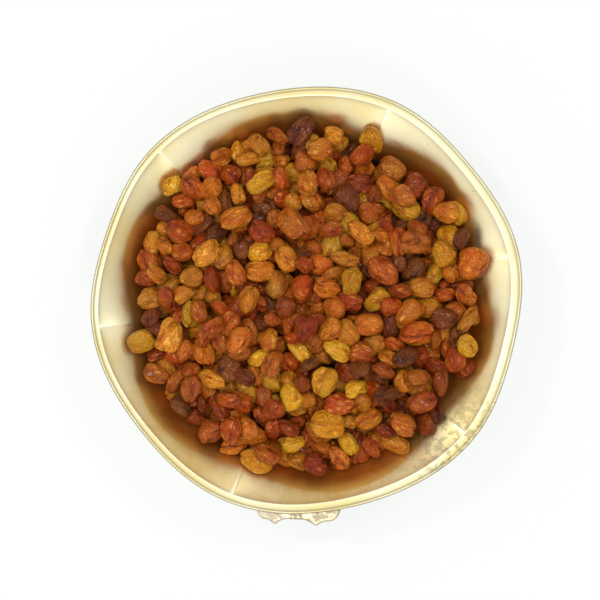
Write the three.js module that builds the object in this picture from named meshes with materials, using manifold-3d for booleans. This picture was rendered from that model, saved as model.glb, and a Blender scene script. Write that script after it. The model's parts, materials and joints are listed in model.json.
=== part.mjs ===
// A six-lobed brass serving bowl on a foot ring, with one cast lug under its lip, heaped with raisins.
// Millimetres, +Z up. The bowl stands on Z = 0, and its lug points towards -Y.

import * as THREE from 'three';
import { mergeVertices } from 'three/addons/utils/BufferGeometryUtils.js';
import Module from 'manifold-3d';

const wasm = await Module();
wasm.setup();

// The bowl: radii are nominal, from the bowl's own axis
const LIP_RADIUS = 90;
const LIP_WAVE = 1.05; // the outline stands this much further out at a rib, and in halfway between two
const LIP_LIFT = 0.8; // the lip is this much higher at a rib than halfway between two
const LIFT_STARTS = 55;
const BEAD_WIDTH = 3.8; // the rounded band that finishes the lip
const BEAD_HEIGHT = 3;
const WALL = 1.6;
const FLOOR_THICKNESS = 2;
const FLOOR_RADIUS = 34;
const WALL_STARTS = 50;
const FLARE_STARTS = 74;
const WALL_SLOPE = 1.04; // rise over run of the plain wall
const FLARE_SLOPE = 0.42; // and where it meets the bead

// The ribs: creases that stand inwards between the lobes, at these angles from +X
const RIB_ANGLES = [12.5, 67, 135, 187.5, 249, 320];
const RIB_HEIGHT = 4.5;
const RIB_STARTS = 36;
const RIB_PEAK = 68;
const RIB_SOFTNESS = 0.16; // rounds the crease
const STEPS_PER_LOBE = 9; // of the bowl's grid
const STEP_CROWDING = 0.09; // how much the steps close up towards the ribs
const BEAD_TURNS = [145, 110, 75, 40, 5, -35, -75]; // points round the bead, in degrees from straight out

// The foot ring, a turned spool: its outside from the seat down, then its inside from the base up, as radii
// and shares of its height
const FOOT_HEIGHT = 12;
const FOOT_OUTSIDE = [
  [32.5, 1], [30.9, 0.84], [30.5, 0.64], [31.9, 0.46], [36.5, 0.28], [38.5, 0.18], [39, 0.08], [38.5, 0],
];
const FOOT_INSIDE = [[35.1, 0], [33.9, 0.14], [28.7, 0.42], [27.9, 0.62], [29.9, 1]];
const FOOT_SIDES = 40;

// The lug, a flat cast tab with a scalloped edge that rises to two points
const LUG_ANGLE = 267.7; // its middle, from +X
const LUG_HALF_WIDTH = 18.2;
const LUG_ROOT_HALF_WIDTH = 14.3;
const LUG_ROOT = 78; // distances from the bowl's axis
const LUG_SIDE = 84; // where the sides start to round
const LUG_ROUNDING = 93.4;
const LUG_SADDLE = 93; // between the rounding and a point
const LUG_SHOULDER = 93.6;
const LUG_NOTCH = 92.6;
const LUG_TIP = 95.2;
const LUG_TIP_OFFSET = 8.4; // how far each point lies from the lug's middle
const LUG_TIP_INSIDE = 2.4; // the edge bends this far on either side of a point
const LUG_TIP_OUTSIDE = 2.2;
const LUG_SADDLE_OFFSET = 12.4;
const LUG_NOTCH_HALF_WIDTH = 2.8;
const LUG_SWAY = 1.5; // how far the points and the notch lie towards one side
const LUG_CURVE_STEPS = 5;
const LUG_BEVEL = 0.6;
const LUG_THICKNESS = 3;
const LUG_DROP = 5.2; // from the lip's crest to the lug's upper face

// The heap of raisins
const HEAP_RADIUS = 75;
const HEAP_BELOW_LIP = 9.2; // at the wall
const HEAP_DOME = 11.5; // rise from the wall to the middle
const HEAP_REACH = 72.5; // furthest a raisin's middle lies from the bowl's axis
const BED_DEPTH = 15; // the settled layers lie on a bed this far below the heap's surface
const RAISIN_COUNT = 660;
const RAISIN_SEED = 2718;
const RAISIN_LENGTH = { mean: 10.6, spread: 3.4, least: 7.4, most: 15 };
const RAISIN_WIDTH = { least: 5.6, most: 9.8 };
const WIDTH_SHARE = { least: 0.6, most: 0.9 }; // width over length
const THICKNESS_SHARE = { least: 0.62, most: 0.92 }; // thickness over width
const TOP_THICKNESS_SHARE = 0.7; // the same, of the raisins that are placed by hand
const LAID_BEFORE_TOP = 470; // raisins laid before the ones that are placed by hand
const PLACES_SEEN = 60; // random places looked at for each raisin
const PLACES_TRIED = 6; // the lowest of them, in which it is tried before it takes the lowest rest
const PRESS = 0.87; // raisins are soft, and meet at this share of their size
const FACET_SWELL = 1.07; // makes up for what flat faces cut off a round raisin
const TILT_LIMIT = 0.75; // steepest slope that a raisin follows
const ROLL_SPREAD = 1.5; // radians that it may be rolled about its length
const LEAN_SPREAD = 0.5; // slope that it may lean by
const CELL = 1; // of the height map
const CLEARANCE = 0.35; // between solids that touch

// The packed mass of the raisins that don't show
const MASS_SINK = 3.2; // it reaches to this far below the heap's surface
const MASS_BLUR = 7; // which is levelled over discs of this radius
const MASS_LIFT = 0.4; // it keeps this much further from the wall than the raisins
const MASS_RINGS = [9, 18, 27, 36, 45, 53, 60, 66]; // nominal radii of the points on its top
const MASS_BASE = [70, 62, 54, 46, 34]; // and on its underside
const SHOWN_LEAST = 38; // square millimetres of a raisin that show from above, or it is buried in the mass
const ROOT_DEPTH = 0.5; // a raisin sunk this deep in it holds without the raisin that it rests on

// Raisins that lie on top where the heap's look depends on them: place, size and the way they point
const TOP_RAISINS = [
  { x: 70, y: 15, length: 14, width: 12.5, turn: 80 }, // leans on the right wall
  { x: -21.5, y: -68, length: 14.5, width: 10, turn: -12 }, // leans on the front wall
  { x: -69.5, y: -17.5, length: 11.5, width: 9.5, turn: 20 }, // leans on the left wall
  { x: 27.2, y: 67, length: 12, width: 10, turn: 95 }, // at the back rib
  { x: -2.5, y: 71, length: 13.5, width: 9.5, turn: 60 },
  { x: 7, y: -34, length: 13, width: 11.5, turn: 70 },
  { x: 8.8, y: -52, length: 15, width: 11.5, turn: 10 },
  { x: -6, y: 31.5, length: 17.5, width: 10.5, turn: -40 },
  { x: 18.5, y: 7.5, length: 11.5, width: 9.5, turn: 100 },
  { x: -16.5, y: 52, length: 12.5, width: 8, turn: -5 },
  { x: -20, y: 20, length: 10, width: 8.6, turn: 30 },
  { x: -57, y: -15, length: 14.5, width: 10.5, turn: 65 },
  { x: 32, y: 12, length: 15, width: 10.5, turn: -50 },
  { x: -33, y: -28.5, length: 12, width: 10.6, turn: -60 },
  { x: 56.5, y: 19.5, length: 11, width: 10, turn: -50 },
  { x: 40, y: -52, length: 15, width: 9, turn: -30 },
  { x: -56.5, y: 48, length: 9.8, width: 8.8, turn: 30 }, // at the back left rib
  { x: -48.5, y: 51.5, length: 10.5, width: 8, turn: 60 },
  { x: -41, y: 54.5, length: 10.5, width: 9.6, turn: -30 },
  { x: -36, y: 60.5, length: 9.8, width: 8, turn: 10 },
  { x: -64.5, y: 24, length: 10.5, width: 8.6, turn: 60 },
  { x: 63, y: 36.5, length: 10.5, width: 8, turn: -50 },
  { x: 52.5, y: 42, length: 12.5, width: 9.6, turn: 70 },
  { x: 45.5, y: 48, length: 11, width: 9.6, turn: 40 },
  { x: 54.5, y: -47, length: 10.5, width: 7, turn: -60 }, // at the front right rib
  { x: 50, y: -51.5, length: 11.5, width: 7.6, turn: -60 },
  { x: 37, y: -60.5, length: 13.5, width: 7.4, turn: -22 },
  { x: 66, y: -28, length: 10.5, width: 8.8, turn: -50 },
];

// The finishes
const RAISED_BRASS = { color: 0xe2d296, roughness: 0.26, metalness: 1 };
const TURNED_BRASS = { color: 0xdcc88a, roughness: 0.28, metalness: 1 };
const CAST_BRASS = { color: 0xccbc82, roughness: 0.38, metalness: 1 };
const RAISIN_SKIN = { color: 0x9a5422, roughness: 0.4, metalness: 0 };

const { degToRad: radians, clamp, lerp } = THREE.MathUtils;
const FULL_TURN = 2 * Math.PI;
const CREASE_RADIUS = LIP_RADIUS - BEAD_WIDTH;
const FLOOR_TOP = FOOT_HEIGHT + FLOOR_THICKNESS;
const WALL_STATIONS = [
  FLOOR_RADIUS, 39, 44, WALL_STARTS, 56, 62, RIB_PEAK, FLARE_STARTS, 78, 82, CREASE_RADIUS,
]; // nominal radii at which the wall's section has a point
const WELD = 1e-4; // points closer than this are one point
const CUTTER_HEIGHT = 120; // the cutting bodies reach up to here
const CUTTER_REACH = LIP_RADIUS + BEAD_WIDTH;

// The lobe that an angle lies in, as -1 at one rib, 0 halfway and 1 at the next rib
function lobePosition(angle) {
  const ribs = RIB_ANGLES.map(radians);
  const turned = (((angle - ribs[0]) % FULL_TURN) + FULL_TURN) % FULL_TURN;
  for (let k = 0; k < ribs.length; k++) {
    const start = ribs[k] - ribs[0];
    const end = k + 1 < ribs.length ? ribs[k + 1] - ribs[0] : FULL_TURN;
    if (turned < end) return (2 * (turned - start)) / (end - start) - 1;
  }
  return 1;
}

// How much of a rib there is at an angle, from 0 halfway between two to 1 on the crease
function ribShare(angle) {
  const open = 1 - lobePosition(angle) ** 2;
  const rounded = (t) => Math.sqrt(t * t + RIB_SOFTNESS ** 2) - RIB_SOFTNESS;
  return 1 - rounded(open) / rounded(1);
}

// How much wider the bowl is at an angle than its nominal radius
function outlineScale(angle) {
  return 1 - (LIP_WAVE / LIP_RADIUS) * Math.cos(Math.PI * lobePosition(angle));
}

// The wall's rise over run at a nominal radius
function wallSlope(radius) {
  if (radius <= FLOOR_RADIUS) return 0;
  if (radius < WALL_STARTS) return (WALL_SLOPE * (radius - FLOOR_RADIUS)) / (WALL_STARTS - FLOOR_RADIUS);
  if (radius < FLARE_STARTS) return WALL_SLOPE;
  return lerp(WALL_SLOPE, FLARE_SLOPE, (radius - FLARE_STARTS) / (CREASE_RADIUS - FLARE_STARTS));
}

// The wall's height over the floor at a nominal radius: the slope summed up
function wallRise(radius) {
  const stations = [FLOOR_RADIUS, WALL_STARTS, FLARE_STARTS, CREASE_RADIUS];
  let rise = 0;
  for (let k = 0; k + 1 < stations.length; k++) {
    const from = stations[k];
    const to = Math.min(radius, stations[k + 1]);
    if (to > from) rise += ((to - from) * (wallSlope(from) + wallSlope(to))) / 2;
  }
  return rise;
}

// A rib's height along the wall: none at the floor, most at its peak, none at the bead
function ribRise(radius) {
  if (radius <= RIB_STARTS || radius >= CREASE_RADIUS) return 0;
  const share = radius < RIB_PEAK
    ? (radius - RIB_STARTS) / (RIB_PEAK - RIB_STARTS)
    : (CREASE_RADIUS - radius) / (CREASE_RADIUS - RIB_PEAK);
  return RIB_HEIGHT * Math.sin((share * Math.PI) / 2) ** 2;
}

// The inner surface's height at a nominal radius and an angle
function innerHeight(radius, angle) {
  const lift = clamp((radius - LIFT_STARTS) / (CREASE_RADIUS - LIFT_STARTS), 0, 1);
  const wave = (-LIP_LIFT / 2) * Math.cos(Math.PI * lobePosition(angle));
  return FLOOR_TOP + wallRise(radius) + ribRise(radius) * ribShare(angle) + wave * lift;
}

// A height measured square to the wall, as a height along Z
function steep(thickness, radius) {
  return thickness * Math.sqrt(1 + wallSlope(radius) ** 2);
}

const LIP_CREST = innerHeight(CREASE_RADIUS, radians(RIB_ANGLES[0])) + BEAD_HEIGHT / 2;
const HEAP_EDGE = LIP_CREST - HEAP_BELOW_LIP;

// The angles of the bowl's grid: each rib, and steps between that close up towards the ribs
function gridAngles() {
  const angles = [];
  RIB_ANGLES.forEach((rib, k) => {
    const next = k + 1 < RIB_ANGLES.length ? RIB_ANGLES[k + 1] : RIB_ANGLES[0] + 360;
    for (let step = 0; step < STEPS_PER_LOBE; step++) {
      const share = step / STEPS_PER_LOBE;
      angles.push(radians(lerp(rib, next, share - Math.sin(FULL_TURN * share) * STEP_CROWDING)));
    }
  });
  return angles;
}

// A closed body round the axis. profileAt gives its section at an angle, from the upper pole to the lower one
function revolve(profileAt, angles) {
  const positions = [];
  const indices = [];
  const sections = angles.map((angle) => ({ angle, points: profileAt(angle) }));
  const count = sections[0].points.length;
  const [first, last] = [sections[0].points[0], sections[0].points[count - 1]];
  positions.push(0, 0, first[1], 0, 0, last[1]);
  sections.forEach(({ angle, points }) => {
    points.slice(1, -1).forEach(([radius, height]) => {
      positions.push(radius * Math.cos(angle), radius * Math.sin(angle), height);
    });
  });
  const rings = count - 2;
  const at = (section, ring) => 2 + (section % angles.length) * rings + ring;
  for (let s = 0; s < angles.length; s++) {
    indices.push(0, at(s, 0), at(s + 1, 0));
    for (let ring = 0; ring + 1 < rings; ring++) {
      indices.push(at(s, ring), at(s, ring + 1), at(s + 1, ring + 1));
      indices.push(at(s, ring), at(s + 1, ring + 1), at(s + 1, ring));
    }
    indices.push(1, at(s + 1, rings - 1), at(s, rings - 1));
  }
  const geometry = new THREE.BufferGeometry();
  geometry.setAttribute('position', new THREE.Float32BufferAttribute(positions, 3));
  geometry.setIndex(indices);
  return geometry;
}

// A three.js geometry as a solid
function solidFrom(geometry) {
  const bare = geometry.clone();
  bare.deleteAttribute('normal');
  bare.deleteAttribute('uv');
  const merged = mergeVertices(bare, WELD);
  return new wasm.Manifold(new wasm.Mesh({
    numProp: 3,
    vertProperties: new Float32Array(merged.attributes.position.array),
    triVerts: new Uint32Array(merged.index.array),
  }));
}

// A solid as a three.js geometry
function geometryFrom(solid) {
  const mesh = solid.getMesh();
  const geometry = new THREE.BufferGeometry();
  geometry.setAttribute('position', new THREE.BufferAttribute(new Float32Array(mesh.vertProperties), 3));
  geometry.setIndex(new THREE.BufferAttribute(new Uint32Array(mesh.triVerts), 1));
  return geometry;
}

// Joins a list of solids two by two
function joined(solids) {
  if (solids.length === 1) return solids[0];
  const half = Math.floor(solids.length / 2);
  return joined(solids.slice(0, half)).add(joined(solids.slice(half)));
}

// The one body that a solid is after its sealed hollows are filled and its loose scraps dropped
function oneBody(solid) {
  return solid.decompose().reduce((best, body) => (body.volume() > best.volume() ? body : best));
}

// The bowl's section at an angle: inner surface, bead, then outer surface
function bowlSection(angle) {
  const scale = outlineScale(angle);
  const crease = innerHeight(CREASE_RADIUS, angle);
  const points = [[0, FLOOR_TOP]];
  WALL_STATIONS.forEach((radius) => points.push([radius * scale, innerHeight(radius, angle)]));
  BEAD_TURNS.map(radians).forEach((turn) => {
    const radius = LIP_RADIUS - (BEAD_WIDTH / 2) * (1 - Math.cos(turn));
    points.push([radius * scale, crease + (BEAD_HEIGHT / 2) * Math.sin(turn)]);
  });
  [...WALL_STATIONS].reverse().forEach((radius) => {
    const under = innerHeight(radius, angle) - steep(WALL, radius);
    points.push([radius * scale, radius <= FLOOR_RADIUS ? FOOT_HEIGHT : under]);
  });
  points.push([0, FOOT_HEIGHT]);
  return points;
}

// Everything inside or above the bowl's inner surface, drawn back from it by a gap
function cavity(gap) {
  return revolve((angle) => {
    const scale = outlineScale(angle);
    const height = (radius) => innerHeight(radius, angle) + steep(gap, radius);
    const inner = [...WALL_STATIONS].reverse().map((radius) => [radius * scale, height(radius)]);
    return [[0, CUTTER_HEIGHT], [inner[0][0], CUTTER_HEIGHT], ...inner, [0, FLOOR_TOP + gap]];
  }, gridAngles());
}

// Everything inside or above the bowl's outer surface, grown by a gap
function outerHull(gap) {
  return revolve((angle) => {
    const scale = outlineScale(angle);
    const height = (radius) => innerHeight(radius, angle) - steep(WALL + gap, radius);
    const outer = [...WALL_STATIONS].reverse().map((radius) => [radius * scale, height(radius)]);
    const rim = [[CUTTER_REACH * scale, CUTTER_HEIGHT], [CUTTER_REACH * scale, height(CREASE_RADIUS)]];
    return [[0, CUTTER_HEIGHT], ...rim, ...outer, [0, FOOT_HEIGHT - gap]];
  }, gridAngles());
}

function footRing() {
  const section = [...FOOT_INSIDE].reverse().concat([...FOOT_OUTSIDE].reverse());
  const points = section.map(([radius, share]) => new THREE.Vector2(radius, share * FOOT_HEIGHT));
  return new THREE.LatheGeometry([...points, points[0]], FOOT_SIDES).rotateX(Math.PI / 2);
}

// The lug's outline, drawn with its middle on +Y
function lugOutline() {
  const edge = new THREE.Shape();
  const swayed = (across) => across + LUG_SWAY * (1 - (across / LUG_HALF_WIDTH) ** 2);
  const bendTo = (across, out, toAcross, toOut) => {
    edge.quadraticCurveTo(swayed(across), out, swayed(toAcross), toOut);
  };
  edge.moveTo(-LUG_ROOT_HALF_WIDTH, LUG_ROOT);
  edge.lineTo(-LUG_HALF_WIDTH, LUG_SIDE);
  bendTo(-LUG_HALF_WIDTH, LUG_ROUNDING, -LUG_SADDLE_OFFSET, LUG_SADDLE);
  bendTo(-LUG_TIP_OFFSET - LUG_TIP_OUTSIDE, LUG_SHOULDER, -LUG_TIP_OFFSET, LUG_TIP);
  bendTo(-LUG_TIP_OFFSET + LUG_TIP_INSIDE, LUG_NOTCH, -LUG_NOTCH_HALF_WIDTH, LUG_NOTCH);
  edge.lineTo(swayed(LUG_NOTCH_HALF_WIDTH), LUG_NOTCH);
  bendTo(LUG_TIP_OFFSET - LUG_TIP_INSIDE, LUG_NOTCH, LUG_TIP_OFFSET, LUG_TIP);
  bendTo(LUG_TIP_OFFSET + LUG_TIP_OUTSIDE, LUG_SHOULDER, LUG_SADDLE_OFFSET, LUG_SADDLE);
  bendTo(LUG_HALF_WIDTH, LUG_ROUNDING, LUG_HALF_WIDTH, LUG_SIDE);
  edge.lineTo(LUG_ROOT_HALF_WIDTH, LUG_ROOT);
  return edge;
}

// The lug, turned to its place under the lip and cut back to the bowl's wall
function lug() {
  const plate = new THREE.ExtrudeGeometry(lugOutline(), {
    depth: LUG_THICKNESS - 2 * LUG_BEVEL,
    curveSegments: LUG_CURVE_STEPS,
    bevelThickness: LUG_BEVEL,
    bevelSize: LUG_BEVEL,
    bevelOffset: -LUG_BEVEL,
    bevelSegments: 1,
  });
  plate.rotateZ(radians(LUG_ANGLE - 90));
  plate.translate(0, 0, LIP_CREST - LUG_DROP - LUG_THICKNESS + LUG_BEVEL);
  return geometryFrom(oneBody(solidFrom(plate).subtract(solidFrom(outerHull(CLEARANCE)))));
}

// Park and Miller's random numbers, from 0 to 1
function randomNumbers(seed) {
  let state = seed;
  return () => {
    state = (state * 16807) % 2147483647;
    return state / 2147483647;
  };
}

// The heap's intended surface
function heapSurface(x, y) {
  return HEAP_EDGE + HEAP_DOME * (1 - (x * x + y * y) / (HEAP_RADIUS * HEAP_RADIUS));
}

// A map of how high the bowl and what lies in it reach, with the raisin that shows in each cell
class HeightMap {
  constructor() {
    this.half = Math.ceil(CREASE_RADIUS / CELL);
    this.side = 2 * this.half + 1;
    this.height = new Float64Array(this.side * this.side);
    this.owner = new Int32Array(this.side * this.side).fill(-1);
    this.eachCell(-this.half, this.half, -this.half, this.half, (cell, x, y) => {
      const angle = Math.atan2(y, x);
      const radius = Math.hypot(x, y) / outlineScale(angle);
      const wall = innerHeight(Math.min(radius, CREASE_RADIUS), angle) + steep(CLEARANCE, radius);
      this.height[cell] = Math.max(wall, heapSurface(x, y) - BED_DEPTH);
    });
  }

  eachCell(left, right, near, far, visit) {
    for (let row = Math.max(near, -this.half); row <= Math.min(far, this.half); row++) {
      for (let column = Math.max(left, -this.half); column <= Math.min(right, this.half); column++) {
        visit((row + this.half) * this.side + column + this.half, column * CELL, row * CELL);
      }
    }
  }

  heightAt(x, y) {
    return this.height[(Math.round(y / CELL) + this.half) * this.side + Math.round(x / CELL) + this.half];
  }

  // The mean height over a disc
  meanAround(x, y, radius) {
    let [sum, cells] = [0, 0];
    const reach = Math.floor(radius / CELL);
    const [column, row] = [Math.round(x / CELL), Math.round(y / CELL)];
    this.eachCell(column - reach, column + reach, row - reach, row + reach, (cell, cellX, cellY) => {
      if ((cellX - x) ** 2 + (cellY - y) ** 2 > radius * radius) return;
      sum += this.height[cell];
      cells += 1;
    });
    return sum / cells;
  }

  // The slope of what lies under a raisin, by least squares over a disc
  slopeUnder(x, y, radius) {
    let [across, along, spread] = [0, 0, 0];
    const reach = Math.floor(radius / CELL);
    const [column, row] = [Math.round(x / CELL), Math.round(y / CELL)];
    this.eachCell(column - reach, column + reach, row - reach, row + reach, (cell, cellX, cellY) => {
      const dx = cellX - column * CELL;
      const dy = cellY - row * CELL;
      if (dx * dx + dy * dy > radius * radius) return;
      across += dx * this.height[cell];
      along += dy * this.height[cell];
      spread += dx * dx;
    });
    return spread > 0 ? [across / spread, along / spread] : [0, 0];
  }

  // Visits the cells under a raisin with its lower and upper surface there, from its middle
  eachCovered(raisin, visit) {
    const { x, y, quadric: q } = raisin;
    const [column, row] = [x / CELL, y / CELL];
    const [reachX, reachY] = [raisin.reachX / CELL, raisin.reachY / CELL];
    this.eachCell(Math.ceil(column - reachX), Math.floor(column + reachX),
      Math.ceil(row - reachY), Math.floor(row + reachY), (cell, cellX, cellY) => {
        const [dx, dy] = [cellX - x, cellY - y];
        const linear = q.xz * dx + q.yz * dy;
        const rest = q.xx * dx * dx + 2 * q.xy * dx * dy + q.yy * dy * dy - 1;
        const inside = linear * linear - q.zz * rest;
        if (inside <= 0) return;
        const half = Math.sqrt(inside);
        visit(cell, (-linear - half) / q.zz, (-linear + half) / q.zz);
      });
  }

  // Lets a raisin down until it rests on something, and notes what
  letDown(raisin) {
    raisin.z = 0;
    this.eachCovered(raisin, (cell, low) => {
      if (this.height[cell] - low <= raisin.z) return;
      raisin.z = this.height[cell] - low;
      raisin.restsOn = this.owner[cell];
    });
  }

  lay(raisin, number) {
    this.eachCovered(raisin, (cell, low, high) => {
      if (raisin.z + high <= this.height[cell]) return;
      this.height[cell] = raisin.z + high;
      this.owner[cell] = number;
    });
  }
}

// A raisin's half sizes
function raisinSize(random) {
  const length = RAISIN_LENGTH.mean + RAISIN_LENGTH.spread * (random() + random() + random() - 1.5);
  const long = clamp(length, RAISIN_LENGTH.least, RAISIN_LENGTH.most);
  const share = WIDTH_SHARE.least + (WIDTH_SHARE.most - WIDTH_SHARE.least) * random();
  const wide = clamp(long * share, RAISIN_WIDTH.least, RAISIN_WIDTH.most);
  const thin = THICKNESS_SHARE.least + (THICKNESS_SHARE.most - THICKNESS_SHARE.least) * random();
  return [long / 2, wide / 2, (wide * thin) / 2];
}

// A raisin at a place, lying along the slope under it and rolled about its long axis
function poseRaisin(map, size, x, y, turn, roll, lean) {
  const [a, b, c] = size;
  const slope = map.slopeUnder(x, y, (a + b) / 2);
  const tilt = slope.map((s, k) => clamp(s, -TILT_LIMIT, TILT_LIMIT) + lean[k]);
  const up = new THREE.Vector3(-tilt[0], -tilt[1], 1).normalize();
  const heading = new THREE.Vector3(Math.cos(turn), Math.sin(turn), 0);
  const u = heading.addScaledVector(up, -heading.dot(up)).normalize();
  const side = new THREE.Vector3().crossVectors(up, u);
  const v = side.clone().multiplyScalar(Math.cos(roll)).addScaledVector(up, Math.sin(roll));
  const w = new THREE.Vector3().crossVectors(u, v);
  const axes = [u, v, w].map((axis) => axis.toArray());
  const halves = [a, b, c].map((half) => PRESS * half);
  const entry = (i, j) => halves.reduce((sum, half, k) => sum + (axes[k][i] * axes[k][j]) / half ** 2, 0);
  const reach = (i) => Math.hypot(...halves.map((half, k) => half * axes[k][i]));
  const quadric = {
    xx: entry(0, 0), xy: entry(0, 1), xz: entry(0, 2), yy: entry(1, 1), yz: entry(1, 2), zz: entry(2, 2),
  };
  const raisin = { x, y, size, u, v, w, quadric, reachX: reach(0), reachY: reach(1), reachZ: reach(2) };
  map.letDown(raisin);
  return raisin;
}

// The lowest of many random places, against the heap's surface
function lowPlaces(map, random) {
  const places = [];
  for (let k = 0; k < PLACES_SEEN; k++) {
    const radius = HEAP_REACH * Math.sqrt(random());
    const bearing = FULL_TURN * random();
    const [x, y] = [radius * Math.cos(bearing), radius * Math.sin(bearing)];
    places.push({ x, y, level: map.heightAt(x, y) - heapSurface(x, y) });
  }
  return places.sort((one, other) => one.level - other.level).slice(0, PLACES_TRIED);
}

// A raisin of random size, dropped where it comes to rest the lowest
function looseRaisin(map, random) {
  const size = raisinSize(random);
  let best = null;
  let lowest = Infinity;
  for (const { x, y } of lowPlaces(map, random)) {
    const turn = FULL_TURN * random();
    const roll = ROLL_SPREAD * (random() + random() - 1);
    const lean = [LEAN_SPREAD * (random() - 0.5), LEAN_SPREAD * (random() - 0.5)];
    const raisin = poseRaisin(map, size, x, y, turn, roll, lean);
    const level = raisin.z - heapSurface(x, y);
    if (level < lowest) [best, lowest] = [raisin, level];
  }
  return best;
}

// Drops the raisins one by one, with those placed by hand before the last of them
function settleRaisins() {
  const random = randomNumbers(RAISIN_SEED);
  const map = new HeightMap();
  const raisins = [];
  const lay = (raisin) => {
    map.lay(raisin, raisins.length);
    raisins.push(raisin);
  };
  for (let number = 0; number < RAISIN_COUNT; number++) {
    if (number === LAID_BEFORE_TOP) {
      for (const { x, y, length, width, turn } of TOP_RAISINS) {
        const size = [length / 2, width / 2, width * TOP_THICKNESS_SHARE / 2];
        lay(poseRaisin(map, size, x, y, radians(turn), 0, [0, 0]));
      }
    }
    lay(looseRaisin(map, random));
  }
  return { map, raisins };
}

// The packed mass reaches this high, a little below the settled heap
function massTop(map, x, y) {
  return map.meanAround(x, y, MASS_BLUR) - MASS_SINK;
}

// The raisins that stand out of the packed mass, with what they rest on where they are clear of it
function topRaisins({ map, raisins }) {
  const shown = new Array(raisins.length).fill(0);
  map.eachCell(-map.half, map.half, -map.half, map.half, (cell, x, y) => {
    if (map.owner[cell] < 0 || map.height[cell] < massTop(map, x, y)) return;
    shown[map.owner[cell]] += CELL * CELL;
  });
  for (let number = raisins.length - 1; number >= 0; number--) {
    const { x, y, z, reachZ, restsOn } = raisins[number];
    const clear = z - reachZ > massTop(map, x, y) - ROOT_DEPTH;
    if (shown[number] >= SHOWN_LEAST && clear && restsOn >= 0) shown[restsOn] = Infinity;
  }
  return raisins.filter((raisin, number) => shown[number] >= SHOWN_LEAST);
}

// One raisin as a solid with twenty faces
function raisinSolid({ x, y, z, size, u, v, w }) {
  const [a, b, c] = size.map((half) => half * FACET_SWELL);
  const frame = new THREE.Matrix4().makeBasis(
    w.clone().multiplyScalar(c), u.clone().multiplyScalar(a), v.clone().multiplyScalar(b),
  );
  frame.setPosition(x, y, z);
  return solidFrom(new THREE.IcosahedronGeometry(1, 0).applyMatrix4(frame));
}

// The packed mass: it fills the bowl from close to the wall up to a little below the heap's surface
function packedMass(map) {
  return revolve((angle) => {
    const scale = outlineScale(angle);
    const under = (radius) => innerHeight(radius, angle) + steep(CLEARANCE, radius) + MASS_LIFT;
    const over = (radius) => {
      const [x, y] = [radius * scale * Math.cos(angle), radius * scale * Math.sin(angle)];
      return Math.max(massTop(map, x, y), under(radius) + MASS_LIFT);
    };
    const top = MASS_RINGS.map((radius) => [radius * scale, over(radius)]);
    const base = MASS_BASE.map((radius) => [radius * scale, under(radius)]);
    return [[0, massTop(map, 0, 0)], ...top, ...base, [0, under(0)]];
  }, gridAngles().filter((_, k) => k % 2 === 0));
}

function raisinHeap() {
  const settled = settleRaisins();
  const heap = joined([solidFrom(packedMass(settled.map)), ...topRaisins(settled).map(raisinSolid)]);
  return geometryFrom(oneBody(heap.intersect(solidFrom(cavity(CLEARANCE)))));
}

function piece(name, geometry, finish) {
  const mesh = new THREE.Mesh(geometry, new THREE.MeshStandardMaterial(finish));
  mesh.name = name;
  return mesh;
}

const part = new THREE.Group();
part.add(
  piece('bowl', revolve(bowlSection, gridAngles()), RAISED_BRASS),
  piece('foot_ring', footRing(), TURNED_BRASS),
  piece('lug', lug(), CAST_BRASS),
  piece('raisins', raisinHeap(), RAISIN_SKIN),
);

// The origin is the middle of the whole outline, on the surface that the bowl stands on
const box = new THREE.Box3().setFromObject(part);
part.position.set(-(box.min.x + box.max.x) / 2, -(box.min.y + box.max.y) / 2, 0);

export default part;
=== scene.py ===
"""A lobed brass bowl heaped with raisins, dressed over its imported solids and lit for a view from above."""

import json
import logging
import math
from dataclasses import dataclass, field, replace
from enum import Enum
from typing import Iterator, NamedTuple

import bmesh
import bpy
import numpy as np
from mathutils import Matrix, Vector

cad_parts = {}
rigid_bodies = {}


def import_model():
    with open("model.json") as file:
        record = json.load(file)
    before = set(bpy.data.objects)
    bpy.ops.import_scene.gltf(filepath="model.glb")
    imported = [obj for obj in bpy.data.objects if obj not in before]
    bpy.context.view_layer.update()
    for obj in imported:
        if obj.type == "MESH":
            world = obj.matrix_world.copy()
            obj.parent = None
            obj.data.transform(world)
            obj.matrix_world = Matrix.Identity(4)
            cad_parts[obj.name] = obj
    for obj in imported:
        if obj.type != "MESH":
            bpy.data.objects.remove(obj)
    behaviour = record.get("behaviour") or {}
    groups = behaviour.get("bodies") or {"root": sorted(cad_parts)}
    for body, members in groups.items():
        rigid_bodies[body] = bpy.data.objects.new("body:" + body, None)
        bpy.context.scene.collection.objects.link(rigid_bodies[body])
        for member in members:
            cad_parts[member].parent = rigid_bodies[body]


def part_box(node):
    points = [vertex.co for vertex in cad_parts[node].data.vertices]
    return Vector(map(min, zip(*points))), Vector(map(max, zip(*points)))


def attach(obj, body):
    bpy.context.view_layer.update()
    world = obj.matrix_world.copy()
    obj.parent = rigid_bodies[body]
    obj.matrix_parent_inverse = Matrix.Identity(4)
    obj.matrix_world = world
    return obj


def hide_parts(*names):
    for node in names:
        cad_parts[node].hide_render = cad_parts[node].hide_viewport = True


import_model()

LOG = logging.getLogger("bowl_of_raisins")
MM = 0.001
BODY = "root"
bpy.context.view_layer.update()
TINY = 1e-9
PACE_SPREAD = (0.7, 1.3)
WAVE_HEIGHT = 0.6
HARDLY_SHOWN = 15.0
"""Raisins with less than this many square millimetres in sight get a plainer copy of their shape."""

Socket = bpy.types.NodeSocket
Screen = tuple[int, int, int]
Span = tuple[float, float]
Faces = list[tuple[int, ...]]
Cells = tuple[slice, slice]


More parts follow.
